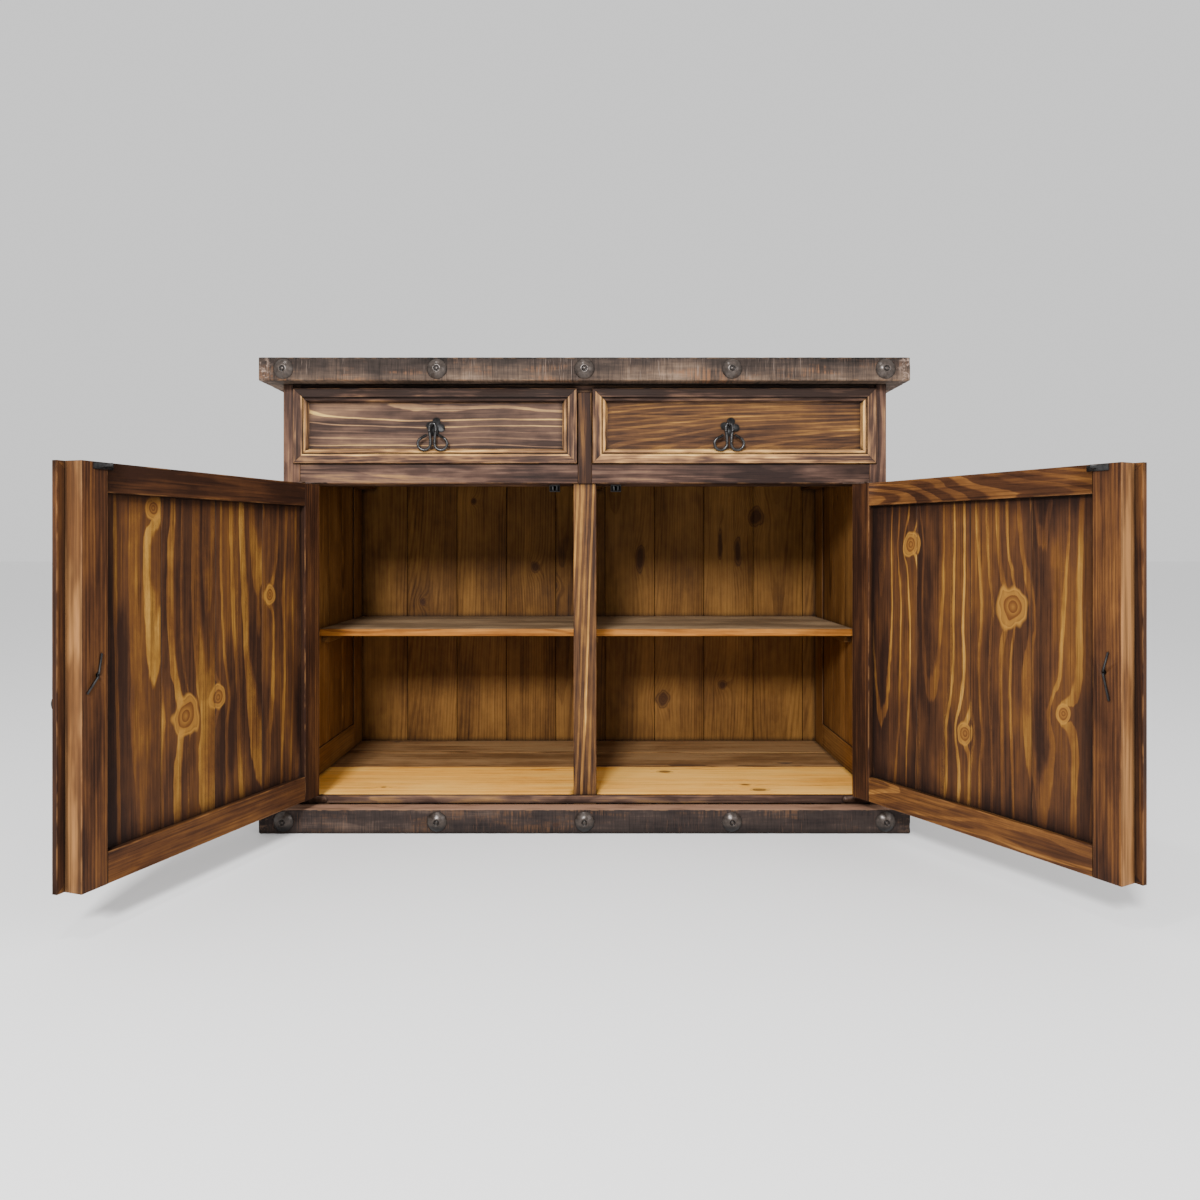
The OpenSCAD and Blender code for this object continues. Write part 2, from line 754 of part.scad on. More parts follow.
// Bent wire pull. Each step is [bend radius, degrees turned, or length where the radius is 0];
// left turns are positive, and the wire lies in the XZ plane
half_pull = [
    [3.4, -70], [24, -30], [135, 10], [loop_r, 240], [0, tail_l]
];
module wire_run(steps, i = 0) {
    if (i < len(steps)) {
        r = steps[i][0];
        turn = steps[i][1];
        translate([-collar_l / 2, 0, 0]) rotate([0, 90, 0])
            cylinder(d = collar_d, h = collar_l);
        if (r == 0) {
            rotate([0, 90, 0]) cylinder(d = wire_d, h = turn);
            translate([turn, 0, 0]) wire_run(steps, i + 1);
        } else {
            way = sign(turn);
            translate([0, 0, way * r]) {
                rotate([90, 0, 0]) rotate(way > 0 ? -90 : 90 + turn)
                    rotate_extrude(angle = abs(turn)) translate([r, 0]) circle(d = wire_d);
                rotate([0, -turn, 0]) translate([0, 0, -way * r]) wire_run(steps, i + 1);
            }
        }
    }
}
module pull() {
    color("#3a3a3c") {
        rotate([0, 90, 0]) cylinder(d = wire_d, h = 2 * pin_half, center = true);
        for (side = [-1, 1]) on_side(side) translate([pin_half, 0, 0]) wire_run(half_pull);
    }
}
module pull_fixings(stand, wood, up_len, up_lean, down_len, down_lean) {
    color("#2e2a28") {
        translate([0, stand, 0]) rosette();
        split_pin(stand + wood, up_len, up_lean, down_len, down_lean);
    }
}
module at_drawer_pull(side) {
    translate([side * pull_x(side), door_face + pull_y, pull_z]) children();
}
module drawer_pull_fixings(side) {
    at_drawer_pull(side)
        pull_fixings(lip_t - pull_y, drawer_front_t, leg_l, 0, leg_l, 12);
}
module drawer_pull(side) { at_drawer_pull(side) pull(); }

// Doors, drawn shut on the left in their own frame and then swung open
module on_door(side) {
    open = side < 0 ? left_open : right_open;
    translate([side * pivot_x, door_face, 0]) {
        if (side < 0) rotate([0, 0, -open]) children();
        else mirror([1, 0, 0]) rotate([0, 0, -open]) children();
    }
}
module door_tongue_space() {
    block(door_x0 + door_stile_w - groove, door_x1 - door_stile_w + groove,
          lip_t + tongue_t, lip_t + 2 * tongue_t,
          door_z0 + door_bottom_rail_w - groove, door_z1 - door_top_rail_w + groove);
}
module door_stiles(side) {
    color("#5c3a22") on_door(side) difference() {
        for (x = [door_x0, door_x1 - door_stile_w])
            bar_z(x, x + door_stile_w, lip_t, door_t, door_z0, door_z1);
        door_tongue_space();
        leaf_pockets();
        translate([door_pull_x, lip_t, door_pull_z]) pin_hole(door_frame_t, true);
    }
}
module door_rails(side) {
    x0 = door_x0 + door_stile_w;
    x1 = door_x1 - door_stile_w;
    color("#6a4426") on_door(side) difference() {
        union() {
            bar_x(x0, x1, lip_t, door_t, door_z0, door_z0 + door_bottom_rail_w);
            bar_x(x0, x1, lip_t, door_t, door_z1 - door_top_rail_w, door_z1);
        }
        door_tongue_space();
        leaf_pockets();
    }
}
module door_panel(side) {
    x0 = door_x0 + door_stile_w;
    x1 = door_x1 - door_stile_w;
    z0 = door_z0 + door_bottom_rail_w;
    z1 = door_z1 - door_top_rail_w;
    color("#8a5a2a") on_door(side) intersection() {
        translate([x0 - groove, panel_y1, z0 - groove]) mirror([0, 1, 0])
            boards(x1 - x0 + 2 * groove, door_boards, panel_t, z1 - z0 + 2 * groove);
        union() {
            door_tongue_space();
            block(x0 + board_gap, x1 - board_gap, lip_t, panel_y1, z0, z1);
        }
    }
}
module door_moulding(side) {
    color("#6a4630") on_door(side) difference() {
        translate([door_x0, lip_t, door_z0])
            moulding_frame(door_w + lip_w, door_h, door_band_w);
        leaf_pockets();
        translate([door_pull_x, 0, door_pull_z]) pin_hole(lip_t, false);
    }
}

// Knife hinges: an eye on the pin and an arm let into the door's edge
module leaf_outline() {
    circle(d = eye_d);
    square([leaf_l, leaf_w]);
    translate([leaf_l, leaf_w / 2]) circle(d = leaf_w);
}
module leaf_pockets() {
    for (z = [door_z0 - past, door_z1 - leaf_t]) translate([0, 0, z])
        linear_extrude(leaf_t + past) {
            leaf_outline();
            translate([door_x0 - past, 0]) square([past - door_x0, leaf_w]);
        }
}
module door_hinge_leaves(side) {
    color("#2e2a28") on_door(side) difference() {
        for (z = [door_z0, door_z1 - leaf_t])
            translate([0, 0, z]) linear_extrude(leaf_t) leaf_outline();
        translate([0, 0, door_z0 - past])
            cylinder(d = hinge_pin_d + 2 * pin_gap, h = door_h + 2 * past);
    }
}
// Upper plates are let in under the rail; lower plates are bent and screwed to the strip's face
module top_leaf_pocket() {
    translate([pivot_x - plate_l, case_front, mid_z0 - past])
        cube([plate_l, leaf_w, leaf_t + past]);
}
module hinge_plate_top() {
    pin_len = door_top_gap + leaf_t - pin_end_gap;
    translate([pivot_x, door_face, mid_z0]) cylinder(d = eye_d, h = leaf_t);
    translate([pivot_x - plate_l, case_front, mid_z0]) cube([plate_l, leaf_w, leaf_t]);
    translate([pivot_x - eye_d / 2, door_face, mid_z0])
        cube([eye_d / 2, front_proud + past, leaf_t]);
    translate([pivot_x, door_face, mid_z0 - pin_len]) cylinder(d = hinge_pin_d, h = pin_len);
}
module hinge_plate_bottom() {
    ear_z = floor_z - leaf_t;
    plate_h = floor_t - plate_up;
    plate_x = pivot_x - plate_l + plate_h / 2;
    washer_h = door_bottom_gap - washer_gap;
    translate([pivot_x, door_face, ear_z]) {
        cylinder(d = eye_d, h = leaf_t);
        cylinder(d = washer_d, h = leaf_t + washer_h);
        cylinder(d = hinge_pin_d, h = 2 * leaf_t + door_bottom_gap - pin_end_gap);
    }
    translate([pivot_x - eye_d / 2, door_face, ear_z])
        cube([eye_d / 2 + plate_past, front_proud, leaf_t]);
    translate([plate_x, case_front - leaf_t, floor_z - plate_h])
        cube([pivot_x + plate_past - plate_x, leaf_t, plate_h]);
    translate([plate_x, case_front, floor_z - plate_h / 2])
        rotate([90, 0, 0]) cylinder(d = plate_h, h = leaf_t);
}
module hinge_plates() {
    color("#2e2a28") for (side = [-1, 1]) on_side(side) {
        hinge_plate_top();
        hinge_plate_bottom();
    }
}

// Roller catches under the rail, and the strikes on the doors
module at_rollers(side, way) {
    translate([side * (catch_x + way * roller_pitch / 2), catch_front + catch_in,
               mid_z0 - catch_t - roller_gap - roller_l]) children();
}
module roller_catches() {
    color("#1f1d1c") for (side = [-1, 1]) {
        translate([side * catch_x - catch_w / 2, catch_front, mid_z0 - catch_drop])
            difference() {
                cube([catch_w, catch_d, catch_drop]);
                translate([catch_t, -past, catch_t])
                    cube([catch_w - 2 * catch_t, catch_d - catch_t + past,
                          catch_drop - 2 * catch_t]);
            }
        for (way = [-1, 1]) at_rollers(side, way) translate([0, 0, -roller_gap])
            cylinder(d = roller_pin_d, h = roller_l + 2 * roller_gap);
    }
}
module roller(side, way) {
    color("#9a9a98") at_rollers(side, way) difference() {
        cylinder(d = roller_d, h = roller_l);
        translate([0, 0, -past])
            cylinder(d = roller_pin_d + 2 * pin_gap, h = roller_l + 2 * past);
    }
}
module catch_left_outer_roller() { roller(-1, 1); }
module catch_left_inner_roller() { roller(-1, -1); }
module catch_right_inner_roller() { roller(1, -1); }
module catch_right_outer_roller() { roller(1, 1); }
module strike(side) {
    x = pivot_x - catch_x;
    top_gap = 1;
    spear_l = catch_gap + catch_in + roller_d;
    spear_h = roller_l - roller_d + past;
    spear_z = mid_z0 - catch_drop + catch_t + roller_gap + past;
    root = roller_pitch - roller_d - 2 * past;
    tip = root / 3;
    color("#2e2a28") on_door(side) {
        translate([x - strike_w / 2, door_t, door_z1 - top_gap - strike_h])
            cube([strike_w, strike_t, strike_h]);
        translate([x, door_t + strike_t, spear_z]) linear_extrude(spear_h)
            polygon([[-root / 2, 0], [root / 2, 0], [tip / 2, spear_l], [-tip / 2, spear_l]]);
    }
}
module door_pull_fixings(side) {
    if (side < 0) at_door_pull(side)
        pull_fixings(-door_pull_y, door_t, leg_l, -10, leg_l, -40);
    else at_door_pull(side)
        pull_fixings(-door_pull_y, door_t, leg_l, 15, long_leg_l, -13);
}
module at_door_pull(side) {
    on_door(side) translate([door_pull_x, door_pull_y, door_pull_z]) children();
}
module door_pull(side) { at_door_pull(side) pull(); }

// Clavos: five along the top's edge and five along the plinth
module clavo() {
    r = clavo_d / 2;
    dome_r = (r * r + clavo_h * clavo_h) / (2 * clavo_h);
    rotate([90, 0, 0]) {
        rotate_extrude() difference() {
            intersection() {
                translate([0, clavo_h - dome_r]) circle(dome_r);
                square([r, clavo_h]);
            }
            translate([0, clavo_h + dish_r - dish_h]) circle(dish_r);
        }
        translate([0, 0, clavo_h - dish_h - button_h / 2])
            cylinder(r1 = button_r, r2 = button_r * 2 / 3, h = button_h);
        translate([0, 0, -clavo_nail_l])
            cylinder(d = clavo_nail_d, h = clavo_nail_l + past);
    }
}
module at_clavos() {
    reach = top_w / 2 - clavo_end;
    for (z = [plinth_h / 2, total_h - top_t / 2])
        for (x = [-1, -clavo_second, 0, clavo_second, 1])
            translate([x * reach, -top_d / 2, z]) children();
}
module clavo_holes() {
    at_clavos() translate([0, -past, 0]) rotate([-90, 0, 0])
        cylinder(d = clavo_nail_d + 2 * pin_gap, h = clavo_nail_l + 1.5 * past);
}
module clavos() {
    color("#5a4a3e") at_clavos() clavo();
}

module drawer_left_moulding() { drawer_moulding(-1); }
module drawer_left_front() { drawer_front(-1); }
module drawer_left_box() { drawer_box(-1); }
module drawer_left_bottom() { drawer_bottom(-1); }
module drawer_left_pull_fixings() { drawer_pull_fixings(-1); }
module drawer_left_pull() { drawer_pull(-1); }
module drawer_right_moulding() { drawer_moulding(1); }
module drawer_right_front() { drawer_front(1); }
module drawer_right_box() { drawer_box(1); }
module drawer_right_bottom() { drawer_bottom(1); }
module drawer_right_pull_fixings() { drawer_pull_fixings(1); }
module drawer_right_pull() { drawer_pull(1); }
module door_left_stiles() { door_stiles(-1); }
module door_left_rails() { door_rails(-1); }
module door_left_panel() { door_panel(-1); }
module door_left_moulding() { door_moulding(-1); }
module door_left_hinge_leaves() { door_hinge_leaves(-1); }
module door_left_strike() { strike(-1); }
module door_left_pull_fixings() { door_pull_fixings(-1); }
module door_left_pull() { door_pull(-1); }
module door_right_stiles() { door_stiles(1); }
module door_right_rails() { door_rails(1); }
module door_right_panel() { door_panel(1); }
module door_right_moulding() { door_moulding(1); }
module door_right_hinge_leaves() { door_hinge_leaves(1); }
module door_right_strike() { strike(1); }
module door_right_pull_fixings() { door_pull_fixings(1); }
module door_right_pull() { door_pull(1); }

top_front_plank();
top_rear_planks();
plinth_front();
plinth_left();
plinth_right();
base_bearers();
stile_left();
stile_right();
top_rail();
mid_rail();
bottom_rail();
drawer_divider();
mullion();
side_frame_left();
side_panel_left();
side_frame_right();
side_panel_right();
back_boards();
floor_boards();
partition();
shelf_left();
shelf_right();
shelf_cleats();
drawer_runners();
clavos();
hinge_plates();
roller_catches();
catch_left_outer_roller();
catch_left_inner_roller();
catch_right_inner_roller();
catch_right_outer_roller();
drawer_left_moulding();
drawer_left_front();
drawer_left_box();
drawer_left_bottom();
drawer_left_pull_fixings();
drawer_left_pull();
drawer_right_moulding();
drawer_right_front();
drawer_right_box();
drawer_right_bottom();
drawer_right_pull_fixings();
drawer_right_pull();
door_left_stiles();
door_left_rails();
door_left_panel();
door_left_moulding();
door_left_hinge_leaves();
door_left_strike();
door_left_pull_fixings();
door_left_pull();
door_right_stiles();
door_right_rails();
door_right_panel();
door_right_moulding();
door_right_hinge_leaves();
door_right_strike();
door_right_pull_fixings();
door_right_pull();
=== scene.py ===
# %% [markdown]
# # A rustic pine buffet cabinet
# The real thing is a heavy sideboard of stained pine. A thick rough-sawn top and a matching plinth are
# studded with domed iron nails, called clavos. Between them sit two drawers and two panelled doors, which
# stand open here. The CAD model already holds every solid at its real size, so this lesson dresses those
# solids: it rounds and wears their edges, gives every board its own run of grain, and lights the result.

import json
import math
from types import SimpleNamespace

import bmesh
import bpy
from mathutils import Matrix, Vector, noise


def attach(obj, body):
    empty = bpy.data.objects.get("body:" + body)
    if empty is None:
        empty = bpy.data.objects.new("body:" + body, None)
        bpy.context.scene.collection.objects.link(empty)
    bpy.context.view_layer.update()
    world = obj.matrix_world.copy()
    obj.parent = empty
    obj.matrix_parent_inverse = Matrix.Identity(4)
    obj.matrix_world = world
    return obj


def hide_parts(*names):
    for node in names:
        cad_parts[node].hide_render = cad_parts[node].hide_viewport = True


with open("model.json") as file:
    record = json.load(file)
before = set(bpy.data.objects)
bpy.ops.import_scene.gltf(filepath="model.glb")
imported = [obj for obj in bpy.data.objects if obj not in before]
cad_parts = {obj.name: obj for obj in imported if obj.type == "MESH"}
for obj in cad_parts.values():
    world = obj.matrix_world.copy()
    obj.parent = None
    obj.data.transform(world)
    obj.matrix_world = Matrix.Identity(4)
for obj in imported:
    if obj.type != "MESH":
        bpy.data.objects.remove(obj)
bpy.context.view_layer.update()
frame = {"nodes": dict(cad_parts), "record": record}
record = frame["record"]
body_of = {n: b for b, names in record["behaviour"]["bodies"].items() for n in names}
slot_of = {s["node"]: s["material_slot"] for s in record["subparts"]}
MM = 0.001

# %% [markdown]
# ## Where the camera stands
# The photograph was taken level, straight in front, a little below the middle of the cabinet. A short lens
# at less than two metres makes the open doors look large. The picture is cropped, so the horizon lies above
# the middle of the image. A camera's shift moves the picture in the same way without tilting the verticals.

# %% Camera
IMAGE_PX = 1200
FOCAL_PX = 900.2
STRAIGHT_AHEAD_PX = (601.8, 546.4)
SENSOR_MM = 36
EYE = (0.0325, -1.9625, 0.5385)
lens = bpy.data.cameras.new("camera")
lens.sensor_width = SENSOR_MM
lens.lens = FOCAL_PX * SENSOR_MM / IMAGE_PX
lens.shift_x = (IMAGE_PX / 2 - STRAIGHT_AHEAD_PX[0]) / IMAGE_PX
lens.shift_y = (STRAIGHT_AHEAD_PX[1] - IMAGE_PX / 2) / IMAGE_PX
camera = bpy.data.objects.new("camera", lens)
camera.location = EYE
camera.rotation_euler = (math.radians(90), 0, 0)
bpy.context.collection.objects.link(camera)
bpy.context.scene.camera = camera
print("lens", round(lens.lens, 2), "mm, shift", round(lens.shift_x, 4), round(lens.shift_y, 4))

# %% [markdown]
# ## Floor and light
# The object stands on a plain pale floor. In the photograph the middle rail throws a soft shadow on the back
# boards and the left rear corner stays dark, so the main light is above the camera and a little to its left.
# The angle of that shadow gives its height. A weak light from the right, a small one high on the left and a
# bright even sky fill the rest, so that the inside of the cabinet stays readable.

# %% Floor
def mesh_from(name, bm):
    """A mesh with what the bmesh holds. The bmesh is freed."""
    mesh = bpy.data.meshes.new(name)
    bm.to_mesh(mesh)
    bm.free()
    return mesh


def new_object(name, mesh):
    """A mesh object at the origin, in the scene."""
    made = bpy.data.objects.new(name, mesh)
    bpy.context.collection.objects.link(made)
    return made


bench = SimpleNamespace(tree=None)  # the node tree that is being wired


def start_material(name):
    """A new material and its shader. Its node tree goes on the bench."""
    material = bpy.data.materials.new(name)
    material.use_nodes = True
    bench.tree = material.node_tree
    return material, bench.tree.nodes["Principled BSDF"]


FLOOR_REACH = 30
bm = bmesh.new()
bmesh.ops.create_grid(bm, x_segments=1, y_segments=1, size=FLOOR_REACH)
floor = new_object("floor", mesh_from("floor", bm))
pale_floor, paint = start_material("pale_floor")
paint.inputs["Base Color"].default_value = (0.92, 0.92, 0.92, 1)
paint.inputs["Roughness"].default_value = 0.9
floor.data.materials.append(pale_floor)
print("floor", 2 * FLOOR_REACH, "m across")

# %% Lights
def softbox(name, aim, distance, left, up, size, power):
    """A square area light, turned left of the camera's direction and raised by angles in degrees."""
    light = bpy.data.lights.new(name, "AREA")
    light.shape = "SQUARE"
    light.size = size
    light.energy = power
    holder = bpy.data.objects.new(name, light)
    side, rise = math.radians(left), math.radians(up)
    towards = Vector((-math.sin(side) * math.cos(rise), -math.cos(side) * math.cos(rise), math.sin(rise)))
    holder.location = Vector(aim) + towards * distance
    holder.rotation_euler = (-towards).to_track_quat("-Z", "Y").to_euler()
    bpy.context.collection.objects.link(holder)
    print(name, [round(c, 2) for c in holder.location])


MIDDLE = (0, 0, 0.45)
softbox("key_softbox", MIDDLE, 3.6, left=9, up=23, size=0.55, power=170)
softbox("right_softbox", MIDDLE, 3.2, left=-42, up=14, size=1.4, power=26)
softbox("high_softbox", (0, 0, 0.60), 3.0, left=22, up=58, size=0.20, power=15)
world = bpy.data.worlds.new("sky")
world.use_nodes = True
sky = world.node_tree.nodes["Background"].inputs
sky["Color"].default_value = (1, 1, 1, 1)
sky["Strength"].default_value = 1.0
bpy.context.scene.world = world

# %% [markdown]
# ## Building shader nodes
# Every finish here is procedural. Wiring node by node fills pages, so each helper adds a node to the tree on
# the bench, sets its sockets and returns an output. A finish then reads like arithmetic.

# %% Nodes and sums
def add(kind, inputs=None, **settings):
    """A new node with its settings, and its inputs set or linked."""
    made = bench.tree.nodes.new(kind)
    for key, value in settings.items():
        setattr(made, key, value)
    for key, value in (inputs or {}).items():
        if isinstance(value, bpy.types.NodeSocket):
            bench.tree.links.new(value, made.inputs[key])
        else:
            made.inputs[key].default_value = value
    return made


def calc(operation, *values):
    return add("ShaderNodeMath", dict(enumerate(values)), operation=operation).outputs[0]


def plus(a, b):
    return calc("ADD", a, b)


def minus(a, b):
    return calc("SUBTRACT", a, b)


def times_plus(a, b, c):
    return calc("MULTIPLY_ADD", a, b, c)


def product(*factors):
    result = factors[0]
    for factor in factors[1:]:
        result = calc("MULTIPLY", result, factor)
    return result


def vector_calc(operation, *vectors):
    made = add("ShaderNodeVectorMath", dict(enumerate(vectors)), operation=operation)
    return made.outputs["Value" if operation == "LENGTH" else "Vector"]


def attribute(name, output="Vector"):
    """What the mesh says about a point under this name."""
    return add("ShaderNodeAttribute", attribute_name=name).outputs[output]


def parts_of(vector):
    return list(add("ShaderNodeSeparateXYZ", {0: vector}).outputs)


print("sums of sockets ready")

# %% Steps, blends and ramps
def step(value, low, high, out_low=0.0, out_high=1.0):
    """A smooth step from low to high."""
    return add("ShaderNodeMapRange",
               {"Value": value, "From Min": low, "From Max": high, "To Min": out_low, "To Max": out_high},
               interpolation_type="SMOOTHSTEP").outputs["Result"]


def spread(value, amount, middle=0.5):
    """The value's swing about its middle, times amount."""
    return product(minus(value, middle), amount)


def blend(factor, first, second, mode="MIX"):
    """Colours are sockets or plain (red, green, blue)."""
    first, second = [c if isinstance(c, bpy.types.NodeSocket) else (*c, 1) for c in (first, second)]
    return add("ShaderNodeMix", {0: factor, 6: first, 7: second}, data_type="RGBA", blend_type=mode,
               clamp_factor=True).outputs[2]


def tint(colour, factor, share, towards, mode="MIX"):
    """Blends a colour towards another where factor says so, by share at most."""
    return blend(product(factor, share), colour, towards, mode)


def colours(value, stops):
    """A colour ramp through (position, colour) stops."""
    made = add("ShaderNodeValToRGB", {"Fac": value})
    ramp = made.color_ramp
    while len(ramp.elements) < len(stops):
        ramp.elements.new(0.5)
    for element, (position, colour) in zip(ramp.elements, stops):
        element.position = position
        element.color = (*colour, 1)
    return made.outputs["Color"]


print("steps, blends and ramps ready")

# %% Noise, creases and relief
def noise_at(vector, scale, detail=2.0, roughness=0.5):
    """Noise from 0 to 1, with its own stretch along, across and through the board."""
    return add("ShaderNodeTexNoise",
               {"Vector": vector_calc("MULTIPLY", vector, scale), "Scale": 1.0, "Detail": detail,
                "Roughness": roughness}).outputs["Fac"]


def crease_dirt_and_shade(colour, share, reach, closed, dirt_and_shade):
    """Dirt and painted shade in creases. Closed: how open a crease is where darkest, and where clean."""
    room = add("ShaderNodeAmbientOcclusion", {"Distance": reach}, samples=4).outputs["AO"]
    return tint(colour, step(room, closed[1], closed[0]), share, dirt_and_shade)


def looking_up():
    """1 on faces that look up."""
    return step(parts_of(add("ShaderNodeNewGeometry").outputs["Normal"])[2], 0.6, 0.9)


def coat(shader, colour, roughness, height, strength, depth):
    """Links what a finish has worked out to its shader. The relief's depth is in mm."""
    bump = add("ShaderNodeBump", {"Height": height, "Strength": strength, "Distance": depth * MM})
    for socket, value in (("Base Color", colour), ("Roughness", roughness), ("Normal", bump.outputs[0])):
        bench.tree.links.new(value, shader.inputs[socket])


print("noise, creases and relief ready")

# %% [markdown]
# ## The figure of pine
# A board is cut from a tree whose rings are nested cones. Where the face runs almost along the rings it
# shows wide arches, called cathedrals, and where it cuts across them it shows fine straight lines. So the
# figure is worked out, not painted: each board carries the place of its pith, and the rings are the distance
# from that pith. A year's late wood is a thin hard line, strong in some years and faint in others. Knots
# push the rings outwards, which draws the eyes round them.
#
# Attributes on every wooden mesh carry this. "grain" runs along, across and through the board with a random
# start, "place" is the same from the board's middle, "half" is half its size, "pith" is where the middle of
# the tree lies, "spot" and "rim" tell where the point lies on the whole piece, and "shade" is how light the
# board is: mostly how light the maker left it, and on a few pieces painted light or shade.

# %% Knots
KNOT_CELL = (5.5, 14.0, 0.0)
SMALLEST_KNOT, KNOT_RANGE = 0.0035, 0.007
NO_KNOT = 50.0


def chance_knots(grain, share):
    """The distance from the nearest knot, in its radii. Each cell of the board holds one, by chance."""
    cells = add("ShaderNodeTexVoronoi", {"Vector": vector_calc("MULTIPLY", grain, KNOT_CELL), "Scale": 1.0},
                voronoi_dimensions="2D")
    centre = vector_calc("MULTIPLY", cells.outputs["Position"], (1 / KNOT_CELL[0], 1 / KNOT_CELL[1], 0))
    off = vector_calc("SUBTRACT", vector_calc("MULTIPLY", grain, (1, 1, 0)), centre)
    away = vector_calc("LENGTH", vector_calc("MULTIPLY", off, (0.6, 1, 0)))
    chance = add("ShaderNodeSeparateColor", {0: cells.outputs["Color"]}).outputs
    missing = calc("GREATER_THAN", chance[0], share)
    radius = times_plus(chance[1], KNOT_RANGE, SMALLEST_KNOT)
    return times_plus(missing, NO_KNOT, calc("DIVIDE", away, radius))


def placed_knot(across, up, radius, squash=0.85):
    """The same for a knot at a known spot of the piece. Sizes in mm."""
    off = vector_calc("SUBTRACT", attribute("spot"), (across * MM, up * MM, 0))
    away = vector_calc("LENGTH", vector_calc("MULTIPLY", off, (1, squash, 0)))
    return calc("DIVIDE", away, radius * MM)


def knot_distance(grain, share, knots=()):
    """The distance from the nearest knot of either kind. Noise takes the roundness off it."""
    ratio = chance_knots(grain, share)
    for knot in knots:
        ratio = calc("MINIMUM", ratio, placed_knot(*knot))
    wobble = spread(noise_at(grain, (26, 44, 44), 1.0), 1.5)
    return plus(ratio, product(wobble, step(ratio, 0.0, 1.5)))


def inside_knot(ratio):
    return step(ratio, 1.1, 0.75)


print("cells for knots:", KNOT_CELL[0] * KNOT_CELL[1], "in a square metre")

# %% Distance from the pith
KNOT_PUSH = 0.020


def pith_distance(grain, ratio, wander, side_cut):
    """How far a point lies from the middle of the tree, which sways, leans and is pushed aside by knots."""
    along, across, through = parts_of(attribute("place"))
    pith_across, pith_through, taper = parts_of(attribute("pith"))
    sway = spread(noise_at(grain, (2.2, 9, 9), 1.0), wander * 2.4)
    lift = spread(noise_at(grain, (3.1, 14, 6), 2.0), wander)
    x = plus(minus(across, minus(pith_across, side_cut)), sway)
    y = times_plus(along, taper, plus(minus(through, pith_through), lift))
    swell = calc("DIVIDE", 1.0, times_plus(ratio, product(ratio, 0.25), 1.0))
    return times_plus(swell, KNOT_PUSH, calc("SQRT", plus(product(x, x), product(y, y))))


print("a knot pushes the rings", KNOT_PUSH / MM, "mm aside")

# %% Late wood
SHIMMER = 0.5
FAINTEST_YEAR = 0.25


def late_wood(grain, distance, spacing, line, bold):
    """1 on the hard lines of late wood. Line and bold are shares of a year's width."""
    shimmer = product(noise_at(grain, (7, 40, 40), 3.0, 0.6), SHIMMER)
    years = plus(calc("DIVIDE", distance, spacing), shimmer)
    board = times_plus(parts_of(attribute("pith"))[0], 57.0, calc("FLOOR", years))
    dice = add("ShaderNodeTexWhiteNoise", {"W": board}, noise_dimensions="1D").outputs["Color"]
    chance = add("ShaderNodeSeparateColor", {0: dice}).outputs
    width = times_plus(calc("POWER", chance[1], 3.0), bold, line)
    season = calc("FRACT", years)
    late = minus(step(season, minus(1.0, width), times_plus(width, -0.7, 1.0)), step(season, 0.95, 1.0))
    return product(late, times_plus(chance[0], 1 - FAINTEST_YEAR, FAINTEST_YEAR))


print("the faintest year has", FAINTEST_YEAR, "of full strength")

# %% All that a finish reads from the wood
FIBRE = (9, 300, 300)
HAIR = (3, 120, 120)


def fine_fibre(grain):
    return noise_at(grain, FIBRE, 3.0, 0.65)


def pine_figure(look):
    """Sockets for the rings, knots, fibres and clouds of a board, and for its shade and rims."""
    grain = attribute("grain")
    ratio = knot_distance(grain, look.knot_share, look.knots)
    distance = pith_distance(grain, ratio, look.wander, look.side_cut)
    return SimpleNamespace(
        grain=grain, ratio=ratio, knot=inside_knot(ratio), fibre=fine_fibre(grain),
        late=late_wood(grain, distance, look.spacing, look.line, look.bold),
        heart=calc("FRACT", product(ratio, 2.4)),
        hair=noise_at(grain, HAIR, 2.0, 0.6), cloud=noise_at(grain, (7, 7, 7), 2.0),
        mottle=noise_at(grain, (38, 60, 60), 3.0, 0.6), shade=attribute("shade", "Fac"),
        rims=parts_of(attribute("rim"))[:2])


def arris_distance():
    """How far a point of a board's face lies from the nearest of the board's long arrises, in metres."""
    room = vector_calc("SUBTRACT", attribute("half"), vector_calc("ABSOLUTE", attribute("place")))
    return calc("MAXIMUM", *parts_of(room)[1:])


print("fibres are", round(1000 / FIBRE[1], 1), "mm across, hairs", round(1000 / HAIR[1], 1))

# %% [markdown]
# ## Finishes on the pine
# The maker rubs a walnut stain over planed pine. Soft early wood drinks it and turns dark, hard late wood
# keeps its gold, and the rag leaves whole patches light. So the stain is a noise stretched along the board,
# and the rings lighten it. Stain that the rag can't reach stays black in creases, painted shade darkens them
# too where near parts hide the light, and hands rub the arrises bare. Inside, the pine has little more than
# wax: there the late wood is the darker one.
#
# A finish is a recipe. Most pieces share its entries, so each finish names only what is different on it.

# %% The recipe
UMBER_KNOT = (0.030, 0.010, 0.004)
PLANED = {
    "spacing": 0.006, "line": 0.34, "bold": 0.2, "wander": 0.010, "side_cut": 0.0,  # the rings
    "knot_share": 0.08, "knots": (), "knot_colour": UMBER_KNOT,  # the knots
    "halo_colour": UMBER_KNOT, "halo_share": 0.35,  # the wood round them
    "late_is_light": True, "ring_share": 0.5, "patch_share": 0.45, "patch": (2.6, 12, 12),  # the stain
    "fibre_share": 0.75, "hair_share": 0.45, "pores": 0.55,  # how much the fibres show
    "shade_share": 0.16, "bias": 0.0,  # how much a board's own shade counts
    "band": None, "rim_reach": None, "bare_ends": False, "dust": None,  # marks that few pieces have
    "wear": 0.45, "black": 0.85,  # rubbed arrises, and creases darkened by dirt and painted shade
}
print(len(PLANED), "entries in the recipe")

# %% How light the stain is
BAND_EDGE = 0.002


